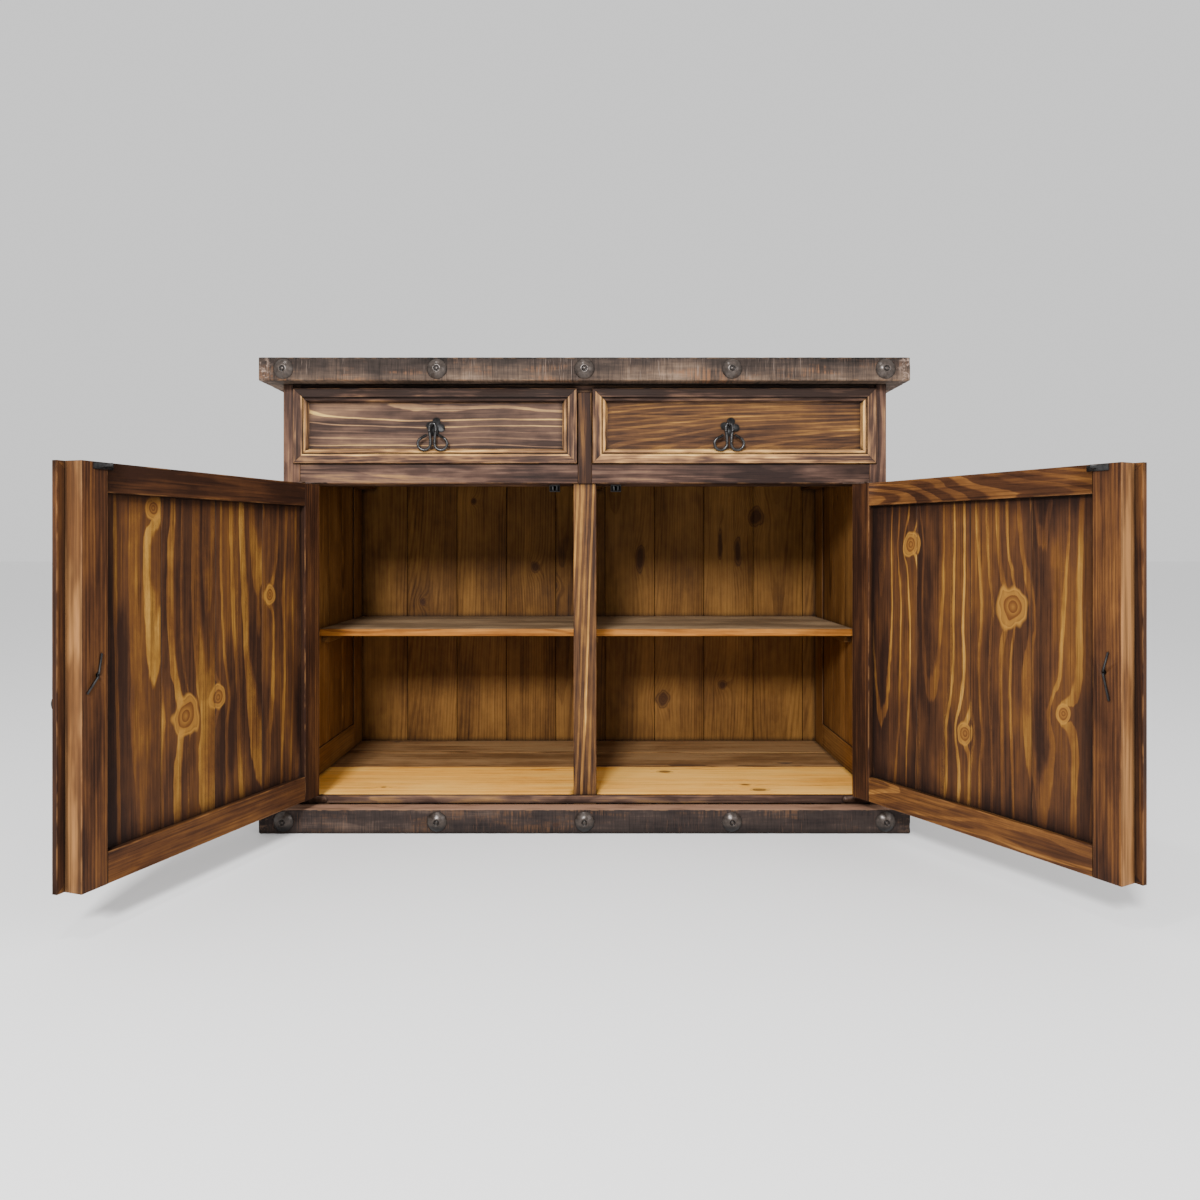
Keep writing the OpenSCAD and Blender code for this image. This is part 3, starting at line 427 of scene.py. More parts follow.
def stain_tone(figure, look):
    """From 0, where the stain is darkest, to 1."""
    patches = step(noise_at(figure.grain, look.patch, 3.0, 0.6), 0.38, 0.62)
    late = figure.late if look.late_is_light else minus(1.0, figure.late)
    tone = times_plus(patches, look.patch_share, product(late, look.ring_share))
    for part, share in ((figure.cloud, 0.40), (figure.mottle, 0.26), (figure.fibre, look.fibre_share),
                        (figure.hair, look.hair_share)):
        tone = plus(tone, spread(part, share))
    tone = plus(times_plus(figure.shade, look.shade_share, look.bias), tone)
    if look.band:
        nearest = calc("MINIMUM", *figure.rims)
        tone = plus(tone, step(nearest, look.band, look.band + BAND_EDGE, -0.10, 0.20))
    return tone


print("a moulding's outer band fades over", BAND_EDGE / MM, "mm")

# %% Pores and knots
PORE = (5, 380, 380)
PORE_STAIN = (0.30, 0.26, 0.26)


def stain_pores(colour, figure, share):
    pore = step(noise_at(figure.grain, PORE, 2.0, 0.7), 0.55, 0.66)
    return tint(colour, pore, share, PORE_STAIN, "MULTIPLY")


def stain_knots(colour, figure, look):
    """A ringed heart in each knot, and a halo round it."""
    halo = product(step(figure.ratio, 1.62, 1.30), times_plus(figure.heart, -0.55, 1.0))
    colour = tint(colour, halo, look.halo_share, look.halo_colour)
    return tint(colour, figure.knot, times_plus(figure.heart, 0.5, 0.4), look.knot_colour)


print("pores are", round(1000 / PORE[1], 1), "mm across")

# %% Dust and wear
WORN = (0.26, 0.12, 0.040)
SMUDGE = (0.34, 0.28, 0.29)


def lay_dust_and_sheen(colour, figure, tone, dust):
    """Grey on faces that look up, but not on a new board: dust, and a painted sheen of light grazing them.
    """
    grey = blend(step(tone, 0.25, 0.75), [c * 0.45 for c in dust], [c * 1.35 for c in dust])
    return blend(product(looking_up(), step(figure.shade, 0.9, 0.3), 0.8), colour, grey)


def rub_arrises(colour, figure, share):
    rub = product(step(arris_distance(), 0.0024, 0.0004),
                  step(noise_at(figure.grain, (24, 90, 90), 3.0), 0.45, 0.62))
    return tint(colour, rub, share, WORN)


def bare_ends(colour, figure):
    """The side faces of a piece, which the rag has left nearly bare."""
    bare = blend(step(figure.hair, 0.38, 0.60), [c * 0.42 for c in WORN], WORN)
    ends = product(step(figure.rims[0], 0.0016, 0.0006),
                   step(noise_at(figure.grain, (6, 30, 30), 3.0), 0.38, 0.58, 0.25, 0.95))
    return blend(ends, colour, bare)


def smudge_rim(colour, figure, reach):
    """Darker along the rim of a panel, in mottled smudges."""
    inside = product(*[step(rim, 0.004, reach) for rim in figure.rims])
    smudge = product(minus(1.0, inside), step(figure.mottle, 0.2, 0.55, 0.35, 1.0))
    return blend(smudge, colour, SMUDGE, "MULTIPLY")


print("arrises are rubbed to", WORN)

# %% Stained and waxed pine
SATIN, MATT = 0.50, 0.72
PINE_GLOSS = 0.13


def pine_material(name, stops, **changes):
    """Pine whose tone runs through stops, from the darkest stain to the lightest wood."""
    look = SimpleNamespace(**{**PLANED, **changes})
    material, shader = start_material(name)
    figure = pine_figure(look)
    tone = stain_tone(figure, look)
    colour = stain_pores(colours(tone, stops), figure, look.pores)
    colour = stain_knots(colour, figure, look)
    if look.dust:
        colour = lay_dust_and_sheen(colour, figure, tone, look.dust)
    colour = rub_arrises(colour, figure, look.wear)
    if look.bare_ends:
        colour = bare_ends(colour, figure)
    if look.rim_reach:
        colour = smudge_rim(colour, figure, look.rim_reach)
    # Creases darken with stain the rag can't reach, and with painted shade where near parts hide the light.
    colour = crease_dirt_and_shade(colour, look.black, 0.012, (0.5, 0.92), (0.006, 0.003, 0.002))
    roughness = times_plus(figure.fibre, 0.1, times_plus(figure.cloud, MATT - SATIN, SATIN))
    relief = times_plus(figure.knot, -0.5, times_plus(figure.late, 0.5, figure.fibre))
    coat(shader, colour, roughness, relief, 0.35, 0.6)
    shader.inputs["Specular IOR Level"].default_value = PINE_GLOSS
    return material


print("pine's roughness runs from", SATIN, "to", MATT)

# %% Stains of the outside
WALNUT = [(0.0, (0.022, 0.009, 0.005)), (0.30, (0.062, 0.024, 0.009)), (0.55, (0.115, 0.045, 0.010)),
          (0.80, (0.23, 0.110, 0.019)), (1.0, (0.35, 0.185, 0.040))]
RUSSET = [(0.0, (0.020, 0.007, 0.003)), (0.30, (0.055, 0.020, 0.007)), (0.60, (0.120, 0.047, 0.012)),
          (0.85, (0.22, 0.095, 0.022)), (1.0, (0.34, 0.16, 0.040))]
ASHEN = [(0.0, (0.028, 0.015, 0.011)), (0.28, (0.092, 0.051, 0.034)), (0.48, (0.178, 0.100, 0.054)),
         (0.66, (0.30, 0.175, 0.070)), (0.84, (0.46, 0.280, 0.085)), (1.0, (0.58, 0.38, 0.11))]
GOLDEN = [(0.0, (0.022, 0.009, 0.005)), (0.30, (0.080, 0.035, 0.013)), (0.55, (0.18, 0.083, 0.021)),
          (0.80, (0.38, 0.19, 0.040)), (1.0, (0.60, 0.37, 0.12))]
SIENNA = [(0.0, (0.016, 0.008, 0.006)), (0.30, (0.052, 0.026, 0.018)), (0.55, (0.115, 0.058, 0.036)),
          (0.80, (0.22, 0.115, 0.056)), (1.0, (0.38, 0.20, 0.08))]
CHESTNUT = [(0.0, (0.015, 0.007, 0.005)), (0.30, (0.047, 0.024, 0.017)), (0.55, (0.110, 0.061, 0.041)),
            (0.78, (0.23, 0.122, 0.050)), (1.0, (0.44, 0.23, 0.065))]
COVE = [(0.0, (0.018, 0.009, 0.006)), (0.30, (0.062, 0.032, 0.021)), (0.55, (0.185, 0.096, 0.044)),
        (0.80, (0.43, 0.225, 0.078)), (1.0, (0.70, 0.43, 0.15))]
print("walnut's darkest and lightest colours", WALNUT[0][1], WALNUT[-1][1])

# %% Stains of the inside
UMBER = [(0.0, (0.020, 0.006, 0.001)), (0.30, (0.100, 0.041, 0.008)), (0.60, (0.195, 0.090, 0.020)),
         (1.0, (0.34, 0.175, 0.045))]
LINING = [(0.0, (0.03, 0.009, 0.001)), (0.35, (0.13, 0.052, 0.010)), (0.65, (0.23, 0.105, 0.026)),
          (1.0, (0.36, 0.19, 0.055))]
AMBER = [(0.0, (0.20, 0.060, 0.006)), (0.35, (0.66, 0.265, 0.034)), (0.65, (0.89, 0.42, 0.070)),
         (1.0, (0.93, 0.52, 0.12))]
HONEY = [(0.0, (0.11, 0.030, 0.003)), (0.35, (0.26, 0.092, 0.013)), (0.65, (0.40, 0.158, 0.028)),
         (1.0, (0.58, 0.27, 0.06))]
# Grey of dust on faces that look up, and of a painted sheen where light grazes them.
SHELF_DUST_AND_SHEEN = (0.33, 0.240, 0.145)
FLOOR_DUST_AND_SHEEN = (0.125, 0.086, 0.057)
print("amber's darkest and lightest colours", AMBER[0][1], AMBER[-1][1])

# %% Pine of the doors and sides
GOLD_KNOT = dict(knot_colour=(0.080, 0.025, 0.007), halo_colour=(0.30, 0.140, 0.024), halo_share=0.9)
PANEL_KNOTS = {"left": [(287, 170, 19), (218, 188, 12), (93, 349, 10), (351, 492, 10)],
               "right": [(144, 340, 20), (234, 126, 11), (59, 187, 8), (349, 438, 13)]}
PANEL = dict(line=0.24, knot_share=0.0, rim_reach=0.05, patch_share=0.40, ring_share=0.58, shade_share=0.06,
             fibre_share=0.6, **GOLD_KNOT)
panel_looks = {"left": dict(spacing=0.023, bold=0.70, bias=0.02),
               "right": dict(spacing=0.019, bold=0.30, bias=-0.01)}
panel_pine = {side: pine_material(f"walnut_{side}_panel_pine", WALNUT, knots=PANEL_KNOTS[side], **look,
                                  **PANEL)
              for side, look in panel_looks.items()}
side_pine = pine_material("walnut_side_pine", WALNUT, spacing=0.0125, rim_reach=0.05, **GOLD_KNOT)
STRAIGHT = dict(line=0.5, ring_share=0.20, side_cut=0.12, wander=0.005)
frame_pine = pine_material("russet_frame_pine", RUSSET, spacing=0.0052, patch_share=0.34, knot_share=0.04,
                           patch=(3.5, 26, 26), bare_ends=True, **STRAIGHT)
lip_pine = pine_material("russet_lip_pine", RUSSET, spacing=0.0052, patch_share=0.36, knot_share=0.0,
                         bias=-0.05, **STRAIGHT)
RAIL = dict(spacing=0.0065, line=0.5, patch_share=0.30, knot_share=0.03)
rail_looks = {"left": dict(ring_share=0.16, bias=-0.02, wander=0.010),
              "right": dict(ring_share=0.42, bias=0.10, wander=0.030)}
rail_pine = {side: pine_material(f"russet_{side}_rail_pine", RUSSET, **look, **RAIL)
             for side, look in rail_looks.items()}
print("knots placed in the doors:", [len(knots) for knots in PANEL_KNOTS.values()])

# %% Pine of the drawers
FRONT = dict(patch_share=0.36, knot_share=0.0, shade_share=0.20, rim_reach=0.010, patch=(2.6, 16, 16))
drawer_looks = {"left": dict(stops=ASHEN, spacing=0.013, line=0.24, ring_share=0.50, wander=0.020,
                             bold=0.15, bias=0.04, fibre_share=0.45, hair_share=0.20),
                "right": dict(stops=GOLDEN, spacing=0.007, line=0.40, ring_share=0.26, wander=0.014,
                              bold=0.10, bias=0.11, fibre_share=0.7, hair_share=0.6, side_cut=0.07)}
drawer_pine = {side: pine_material(f"chestnut_{side}_drawer_pine", **look, **FRONT)
               for side, look in drawer_looks.items()}
moulding_pine = pine_material("chestnut_moulding_pine", COVE, patch=(7, 40, 40), patch_share=0.42,
                              ring_share=0.20, shade_share=0.26, band=0.013, knot_share=0.0, side_cut=0.12,
                              wander=0.005)
print("drawer finishes:", [m.name for m in drawer_pine.values()] + [moulding_pine.name])

# %% Pine of the face frame
CALM = dict(line=0.45, patch=(3.2, 20, 20), knot_share=0.0, wander=0.020)
case_pine = pine_material("chestnut_case_pine", CHESTNUT, spacing=0.0090, patch_share=0.50, ring_share=0.18,
                          bias=-0.04, **CALM)
stile_pine = pine_material("sienna_stile_pine", SIENNA, patch_share=0.34, ring_share=0.28, bias=0.17,
                           side_cut=0.12, **CALM)
post_pine = pine_material("golden_post_pine", GOLDEN, spacing=0.0100, line=0.45, patch=(3, 40, 40),
                          patch_share=0.30, ring_share=0.55, knot_share=0.0, side_cut=0.12, wander=0.006,
                          bias=0.08)
print("frame finishes:", [m.name for m in (case_pine, stile_pine, post_pine)])

# %% Pine of the inside
BACK_KNOTS = [(283, 604, 5), (435, 442, 8), (157, 356, 6), (750, 117, 13), (978, 566, 14), (895, 151, 7),
              (933, 479, 7, 0.30), (692, 459, 8, 0.35), (889, 496, 4, 0.14)]
WAXED = dict(late_is_light=False, pores=0.3)
back_pine = pine_material("umber_back_pine", UMBER, line=0.5, patch_share=0.18, ring_share=0.15,
                          knot_share=0.03, knots=BACK_KNOTS, wear=0.0, bias=0.17, fibre_share=0.36,
                          hair_share=0.30, shade_share=0.06, side_cut=0.04, halo_share=0.75, **WAXED)
lining_pine = pine_material("umber_lining_pine", LINING, line=0.5, patch_share=0.20, ring_share=0.22,
                            wear=0.0, bias=0.14, shade_share=0.06, side_cut=0.05, black=0.45,
                            fibre_share=0.40, hair_share=0.30, **WAXED)
shelf_pine = pine_material("amber_shelf_pine", HONEY, patch_share=0.25, ring_share=0.30, knot_share=0.08,
                           wear=0.1, bias=0.12, dust=SHELF_DUST_AND_SHEEN, **WAXED)
floor_pine = pine_material("amber_floor_pine", AMBER, spacing=0.0080, patch_share=0.30, ring_share=0.50,
                           knot_share=0.20, wear=0.1, bias=0.02, dust=FLOOR_DUST_AND_SHEEN, fibre_share=0.8,
                           hair_share=0.6, **WAXED)
print(len(bpy.data.materials), "materials so far")

# %% [markdown]
# ## Rough-sawn stock
# The top and the plinth come straight from the mill. The blade leaves short ridges across the board. Stain
# sits dark and grey in the furrows and the rag takes it off the ridges, so that orange wood shines through.

# %% Marks of the saw
RIDGE, TOOTH, PASS = (300, 9, 9), (560, 30, 30), (26, 3, 3)


def saw_marks(grain):
    """Ridges of the blade, scratches of its teeth, and the bands that each pass leaves."""
    return (noise_at(grain, RIDGE, 3.0, 0.65), noise_at(grain, TOOTH, 2.0, 0.6),
            noise_at(grain, PASS, 2.0, 0.5))


def rub_ridges(colour, grain, ridges, teeth, lower, look):
    """The rag takes stain off the ridges in patches, most of all near the lower edge."""
    rubbed = product(step(noise_at(grain, (7, 30, 30), 4.0, 0.65), 0.52, 0.66),
                     step(plus(ridges, spread(teeth, 0.6)), 0.42, 0.60),
                     step(lower, 0.022, -0.012, 0.25, 1.0))
    return tint(colour, rubbed, look.rubbed_share, look.rubbed_colour)


print("a ridge every", round(1000 / RIDGE[0], 1), "mm, a tooth mark every", round(1000 / TOOTH[0], 1))

# %% Worn and splintered edges of sawn boards
SAWN_WORN = (0.22, 0.12, 0.06)


def wear_sawn_edges(colour, grain, along, raw_colour):
    """Rubbed arrises, and pale splinters near the ends of the board."""
    edge = product(step(arris_distance(), 0.0035, 0.0006),
                   step(noise_at(grain, (60, 120, 120), 3.0), 0.5, 0.62))
    colour = tint(colour, edge, 0.5, SAWN_WORN)
    end_room = minus(parts_of(attribute("half"))[0], calc("ABSOLUTE", along))
    splintered = product(step(end_room, 0.030, 0.004),
                         step(end_room, 0.0006, 0.003, 0.22, 1.0),
                         step(noise_at(grain, (90, 120, 120), 3.0, 0.7), 0.50, 0.62))
    return tint(colour, splintered, 0.8, raw_colour)


print("sawn arrises are rubbed to", SAWN_WORN)

# %% Rough-sawn pine
SAWN_RELIEF = 1.2


def sawn_material(name, stops, **entries):
    """Sawn pine: a grey skin, rubbed ridges, dark furrows, scratches, worn edges, knots, dirt and painted
    shade in creases.
    """
    look = SimpleNamespace(**entries)
    material, shader = start_material(name)
    grain = attribute("grain")
    along, _, lower = parts_of(attribute("place"))
    ridges, teeth, passes = saw_marks(grain)
    patches = spread(noise_at(grain, (5, 20, 20), 4.0, 0.65), 1.35, 0.14)
    tone = times_plus(lower, -8.0, patches)
    for part, share in ((ridges, look.saw_share), (teeth, 0.35), (passes, 0.3), (fine_fibre(grain), 0.25)):
        tone = plus(tone, spread(part, share))
    colour = rub_ridges(colours(tone, stops), grain, ridges, teeth, lower, look)
    furrows = step(plus(ridges, spread(teeth, 0.5)), 0.44, 0.34)
    colour = tint(colour, furrows, look.saw_share, [c * 0.8 for c in stops[0][1]])
    scratches = product(step(noise_at(grain, (700, 22, 22), 2.0, 0.7), 0.60, 0.70), step(passes, 0.45, 0.62))
    colour = tint(colour, scratches, 0.6, look.scratch_colour)
    if look.top_colour:
        raw = blend(step(patches, 0.3, 0.6), [c * 0.55 for c in look.top_colour], look.top_colour)
        colour = tint(colour, looking_up(), 0.85, raw)
    colour = wear_sawn_edges(colour, grain, along, look.raw_colour)
    knot = inside_knot(knot_distance(grain, 0.10))
    colour = tint(colour, knot, 0.6, (0.03, 0.014, 0.009))
    # Creases darken with dirt, and with painted shade where near parts hide the light.
    colour = crease_dirt_and_shade(colour, 0.85, 0.014, (0.5, 0.92), (0.008, 0.006, 0.005))
    relief = times_plus(teeth, 0.5, times_plus(passes, 0.8, ridges))
    coat(shader, colour, times_plus(passes, 0.2, 0.6), relief, 0.6, SAWN_RELIEF)
    shader.inputs["Specular IOR Level"].default_value = 0.1
    return material


print("a saw leaves the skin", SAWN_RELIEF, "mm rough")

# %% Pine of the top and the plinth
WEATHERED = [(0.10, (0.008, 0.006, 0.005)), (0.38, (0.030, 0.021, 0.017)), (0.62, (0.075, 0.050, 0.036)),
             (1.0, (0.23, 0.155, 0.105))]
SOOTED = [(0.10, (0.004, 0.003, 0.003)), (0.42, (0.013, 0.0095, 0.009)), (0.72, (0.030, 0.021, 0.018)),
          (1.0, (0.095, 0.062, 0.046))]
top_pine = sawn_material("rough_sawn_top", WEATHERED, saw_share=0.22, rubbed_share=0.75, top_colour=None,
                         rubbed_colour=(0.155, 0.072, 0.034), raw_colour=(0.26, 0.18, 0.14),
                         scratch_colour=(0.21, 0.155, 0.125))
plinth_pine = sawn_material("rough_sawn_plinth", SOOTED, saw_share=0.14, rubbed_share=0.6,
                            top_colour=(0.34, 0.19, 0.12), rubbed_colour=(0.10, 0.048, 0.022),
                            raw_colour=(0.10, 0.06, 0.04), scratch_colour=(0.14, 0.070, 0.038))
print("sawn finishes:", top_pine.name, plinth_pine.name)

# %% [markdown]
# ## Iron
# The pulls, hinges and catches are black forged iron, rubbed bright where hands and doors touch them, with
# soot and painted shade in their creases. The clavos have a warmer brown patina, and painted shade darkens
# them from the crown towards the rim so that the domes look round. The lower hinge plates were stained
# together with the wood.

# %% Forged iron
SOOT_AND_SHADE = (0.004, 0.003, 0.003)


def iron_material(name, dark, light, roughness=(0.32, 0.62), hammer=0.5, black=0.6, metallic=0.5, gloss=0.5,
                  reach=0.006, closed=(0.35, 0.80)):
    """Iron from dark to light in blotches, with hammer marks, and soot and painted shade in its creases."""
    material, shader = start_material(name)
    place = add("ShaderNodeTexCoord").outputs["Object"]
    blotch = noise_at(place, (160, 160, 160), 3.0, 0.6)
    grit = noise_at(place, (900, 900, 900), 2.0, 0.6)
    dents = add("ShaderNodeTexVoronoi", {"Vector": place, "Scale": 240.0}, feature="SMOOTH_F1")
    colour = colours(blotch, [(0.3, dark), (0.72, light)])
    # Soot in creases, and painted shade where near parts hide the light.
    colour = crease_dirt_and_shade(colour, black, reach, closed, SOOT_AND_SHADE)
    height = times_plus(grit, 0.3, dents.outputs["Distance"])
    coat(shader, colour, times_plus(blotch, roughness[1] - roughness[0], roughness[0]), height, hammer, 0.4)
    shader.inputs["Metallic"].default_value = metallic
    shader.inputs["Specular IOR Level"].default_value = gloss
    return material


black_iron = iron_material("black_forged_iron", (0.004, 0.004, 0.004), (0.016, 0.015, 0.015), metallic=0.1,
                           gloss=0.3)
pull_iron = iron_material("rubbed_pull_iron", (0.007, 0.006, 0.006), (0.030, 0.028, 0.027),
                          roughness=(0.20, 0.32), hammer=0.25, black=0.9, metallic=0.3, gloss=0.45)
plate_iron = iron_material("stained_plate_iron", (0.028, 0.014, 0.008), (0.085, 0.045, 0.028),
                           roughness=(0.4, 0.65), hammer=0.3)
# On the clavos the darkening reaches from the rim and the dimple almost to the crown: brown patina, and
# painted shade that makes each dome look round.
patina_and_shade_iron = iron_material("brown_patina_and_shaded_iron", (0.026, 0.019, 0.015), (0.066, 0.050, 0.041),
                            roughness=(0.24, 0.36), hammer=0.3, black=0.97, metallic=0.35, gloss=0.4,
                            reach=0.022, closed=(0.62, 0.995))
roller_steel = iron_material("dull_roller_steel", (0.05, 0.05, 0.05), (0.16, 0.16, 0.155),
                             roughness=(0.3, 0.5), hammer=0.1)
print(len(bpy.data.materials), "materials in all")

# %% [markdown]
# ## Dressing a wooden solid
# CAD boards have dead straight arrises, which never happens on handmade furniture. Each wooden node is
# copied, its triangles are merged back into whole faces, its arrises get a small round, and a grid of cuts
# lets noise carve the skin a fraction of a millimetre inwards. Carving only inwards keeps the size.

# %% Solids from the CAD
FLAT = math.radians(1)
MERGE = 2e-6


def merged_copy(node):
    """The node's mesh with its loose triangles merged back into flat faces."""
    bm = bmesh.new()
    bm.from_mesh(frame["nodes"][node].data)
    bmesh.ops.remove_doubles(bm, verts=bm.verts, dist=MERGE)
    bmesh.ops.dissolve_limit(bm, angle_limit=FLAT, verts=bm.verts, edges=bm.edges)
    return bm


def islands(bm):
    """Lists of the vertices of each separate solid. A list grows while it is walked along."""
    left = set(bm.verts)
    found = []
    while left:
        group = [left.pop()]
        for v in group:
            for other in [edge.other_vert(v) for edge in v.link_edges]:
                if other in left:
                    left.remove(other)
                    group.append(other)
        found.append(group)
    found.sort(key=lambda g: tuple(round(min(v.co[i] for v in g), 4) for i in range(3)))
    return found


bm = merged_copy("back_boards")
print("back boards:", len(islands(bm)), "solids with", len(bm.faces), "faces")
bm.free()

# %% Rounded arrises and a grid of cuts
ARRIS_ANGLE = math.radians(25)


def round_arrises(bm, width):
    sharp = [e for e in bm.edges if len(e.link_faces) == 2 and e.calc_face_angle(0) > ARRIS_ANGLE
             and e.calc_length() > width * 3]
    bmesh.ops.bevel(bm, geom=sharp, offset=width, segments=2, profile=0.6, affect="EDGES",
                    clamp_overlap=True)


def cut_grid(bm, turned, steps):
    """Cuts the mesh by planes across the three axes of a frame turned about Z."""
    for axis in range(3):
        normal = turned.col[axis]
        reach = [v.co.dot(normal) for v in bm.verts]
        low, high = min(reach), max(reach)
        count = int((high - low) / steps[axis])
        for i in range(1, count + 1):
            spot = low + (high - low) * i / (count + 1)
            bmesh.ops.bisect_plane(bm, geom=bm.verts[:] + bm.edges[:] + bm.faces[:], dist=1e-6,
                                   plane_co=normal * spot, plane_no=normal)


print("edges sharper than", round(math.degrees(ARRIS_ANGLE)), "degrees are rounded")

# %% How a board was cut from its tree
def corners(spots):
    """The low and the high corner of a set of points."""
    return (Vector([min(s[i] for s in spots) for i in range(3)]),
            Vector([max(s[i] for s in spots) for i in range(3)]))


def cut_from_tree(spots, seed, number):
    """A board's axes from long to thin, its middle and half size, and where chance put its pith."""
    low, high = corners(spots)
    order = sorted(range(3), key=lambda i: low[i] - high[i])
    half = Vector([(high[i] - low[i]) / 2 for i in order])
    draw = [noise.cell(Vector((seed * 7.3, number * 3.1, k * 5.7))) for k in range(7)]
    pith = Vector((draw[3] * half[1] * 1.1, half[2] + 0.016 + 0.03 * abs(draw[4]), 0.05 + 0.05 * draw[5]))
    return SimpleNamespace(order=order, half=half, middle=[(high[i] + low[i]) / 2 for i in range(3)],
                           start=Vector([d * 40 for d in draw[:3]]), pith=pith, luck=draw[6])


print("a one metre board:", cut_from_tree([(0, 0, 0), (1, 0.1, 0.02)], 1, 1).pith)

# %% Grain for each board
def lay_grain(bm, turned, seed, shade_rule, fade):
    """Writes the attributes that carry the figure, one board after another."""
    layers = {key: bm.verts.layers.float_vector.new(key)
              for key in ("grain", "place", "half", "pith", "spot", "rim")}
    shade = bm.verts.layers.float.new("shade")
    back = turned.transposed()
    piece_low, piece_high = corners([back @ v.co for v in bm.verts])
    for number, group in enumerate(islands(bm)):
        spots = [back @ v.co for v in group]
        board = cut_from_tree(spots, seed, number)
        lies = [(board.middle[i] - piece_low[i]) / max(1e-6, piece_high[i] - piece_low[i]) for i in range(3)]
        board_shade = shade_rule(lies, board.luck)
        for v, s in zip(group, spots):
            here = Vector([s[i] for i in board.order]) - Vector([board.middle[i] for i in board.order])
            v[layers["place"]] = here
            v[layers["grain"]] = here + board.start
            v[layers["half"]] = board.half
            v[layers["pith"]] = board.pith
            v[layers["spot"]] = (s.x - piece_low.x, s.z - piece_low.z, 0)
            v[layers["rim"]] = (min(s.x - piece_low.x, piece_high.x - s.x),
                                min(s.z - piece_low.z, piece_high.z - s.z), 0)
            v[shade] = board_shade + fade((s.x - piece_low.x) / (piece_high.x - piece_low.x))


def carve(bm, depth, size, seed):
    """Moves the skin inwards by noise, by up to depth."""
    bm.normal_update()
    shift = Vector((seed * 3.7, seed * 1.3, 0))
    for v in bm.verts:
        v.co -= v.normal * depth * max(0.0, 0.5 + 0.5 * noise.noise(v.co / size + shift))


seeds = {node: i + 1 for i, node in enumerate(sorted(frame["nodes"]))}
print(len(seeds), "seeds, one for each node")

# %% From solid to finished piece
def hand_over(made, slot, body, *nodes):
    """Gives a piece its body, and lets it stand for CAD nodes. The slot is not used."""
    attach(made, body)
    if nodes:
        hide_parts(*nodes)


def finish_piece(name, bm, node, material, sharp=32):
    """Makes the object. Edges sharper than an angle stay crisp."""
    mesh = mesh_from(name, bm)
    mesh.shade_smooth()
    mesh.set_sharp_from_angle(angle=math.radians(sharp))
    mesh.materials.append(material)
    made = new_object(name, mesh)
    hand_over(made, slot_of[node], body_of[node], node)
    return made


def shade(base, by_luck=0.0):
    """A rule for a board's shade. Lies is where the board lies in its piece, from 0 to 1 on each axis; this
    rule doesn't use it.
    """
    return lambda lies, luck: base + by_luck * luck


by_chance = shade(0.0, 1.0)


def even(share):
    """No change along a piece. The share, from 0 at its left end to 1, is not used."""
    return 0.0


CUT, HOLLOW, SWELL = 40, 0.25, 30  # mm


def dress_wood(node, material, turn=0.0, ease=0.7, shade_rule=by_chance, fade=even):
    """A wooden node with eased arrises, its own grain and a planed, slightly uneven skin. Sizes in mm."""
    bm = merged_copy(node)
    turned = Matrix.Rotation(math.radians(turn), 3, "Z")
    round_arrises(bm, ease * MM)
    cut_grid(bm, turned, [CUT * MM] * 3)
    lay_grain(bm, turned, seeds[node], shade_rule, fade)
    carve(bm, HOLLOW * MM, SWELL * MM, seeds[node])
    return finish_piece(node + "_pine", bm, node, material)


print("planed skin dips by up to", HOLLOW, "mm, every", SWELL, "mm or so")

# %% [markdown]
# ## The case
# Stiles, rails and posts are planed and stained. Everything behind them is plain pine. How light each board
# comes out is left to chance, except where the photograph shows it: a short rule then gives its shade.

# %% Face frame
def darker_to_the_right(share):
    """Darker towards the right half of a long piece."""
    return -1.0 * min(1.0, max(0.0, (share - 0.42) / 0.25))


def rail_fade(share):
    return 2.0 * darker_to_the_right(share)


dress_wood("top_rail", case_pine)
dress_wood("mid_rail", case_pine, fade=rail_fade)
dress_wood("bottom_rail", case_pine, shade_rule=shade(1.4))
dress_wood("stile_left", stile_pine, shade_rule=shade(0.8, by_luck=1.0))
dress_wood("stile_right", stile_pine)
dress_wood("drawer_divider", post_pine)
dress_wood("mullion", post_pine, shade_rule=shade(0.1))

# %% Sides and back
def line_inside(made, material):
    """Gives the faces that look towards the middle of the case another finish."""
    made.data.materials.append(material)
    for face in made.data.polygons:
        if face.normal.x * face.center.x < 0 and abs(face.normal.x) > 0.7:
            face.material_index = 1


# Paints the right bay's back boards lighter: painted light, as if more light fell into that bay.
def painted_light_on_the_right(lies, luck):
    return 0.4 * luck + (1.3 if lies[0] > 0.5 else 0.0)


for part, material in (("frame", frame_pine), ("panel", side_pine)):
    for side in ("left", "right"):
        line_inside(dress_wood(f"side_{part}_{side}", material), lining_pine)
dress_wood("back_boards", back_pine, shade_rule=painted_light_on_the_right)
for node in ("partition", "shelf_cleats", "drawer_runners", "base_bearers"):
    dress_wood(node, back_pine)

# %% [markdown]
# ## Shelves and floor
# The maker used one bright new board at the front of the floor and duller, dusty ones behind it. The shelves
# have gathered the same dust. On these older boards the faces that look up are painted grey: dust, and a
# painted sheen of light grazing them.

# %% Shelves and floor
def new_board_in_front(lies, luck):
    return 1.0 if lies[1] < 0.3 else -0.6 + 0.3 * luck


for node in ("shelf_left", "shelf_right"):
    dress_wood(node, shelf_pine, shade_rule=shade(-0.4, by_luck=0.2))
dress_wood("floor_boards", floor_pine, shade_rule=new_board_in_front)

# %% [markdown]
# ## Top and plinth
# These boards are never planed, so they get a finer grid, deeper carving and ragged arrises.

# %% Ragged arrises
BITE, BITE_REACH, GRIT = 1.4, 2, 11  # mm


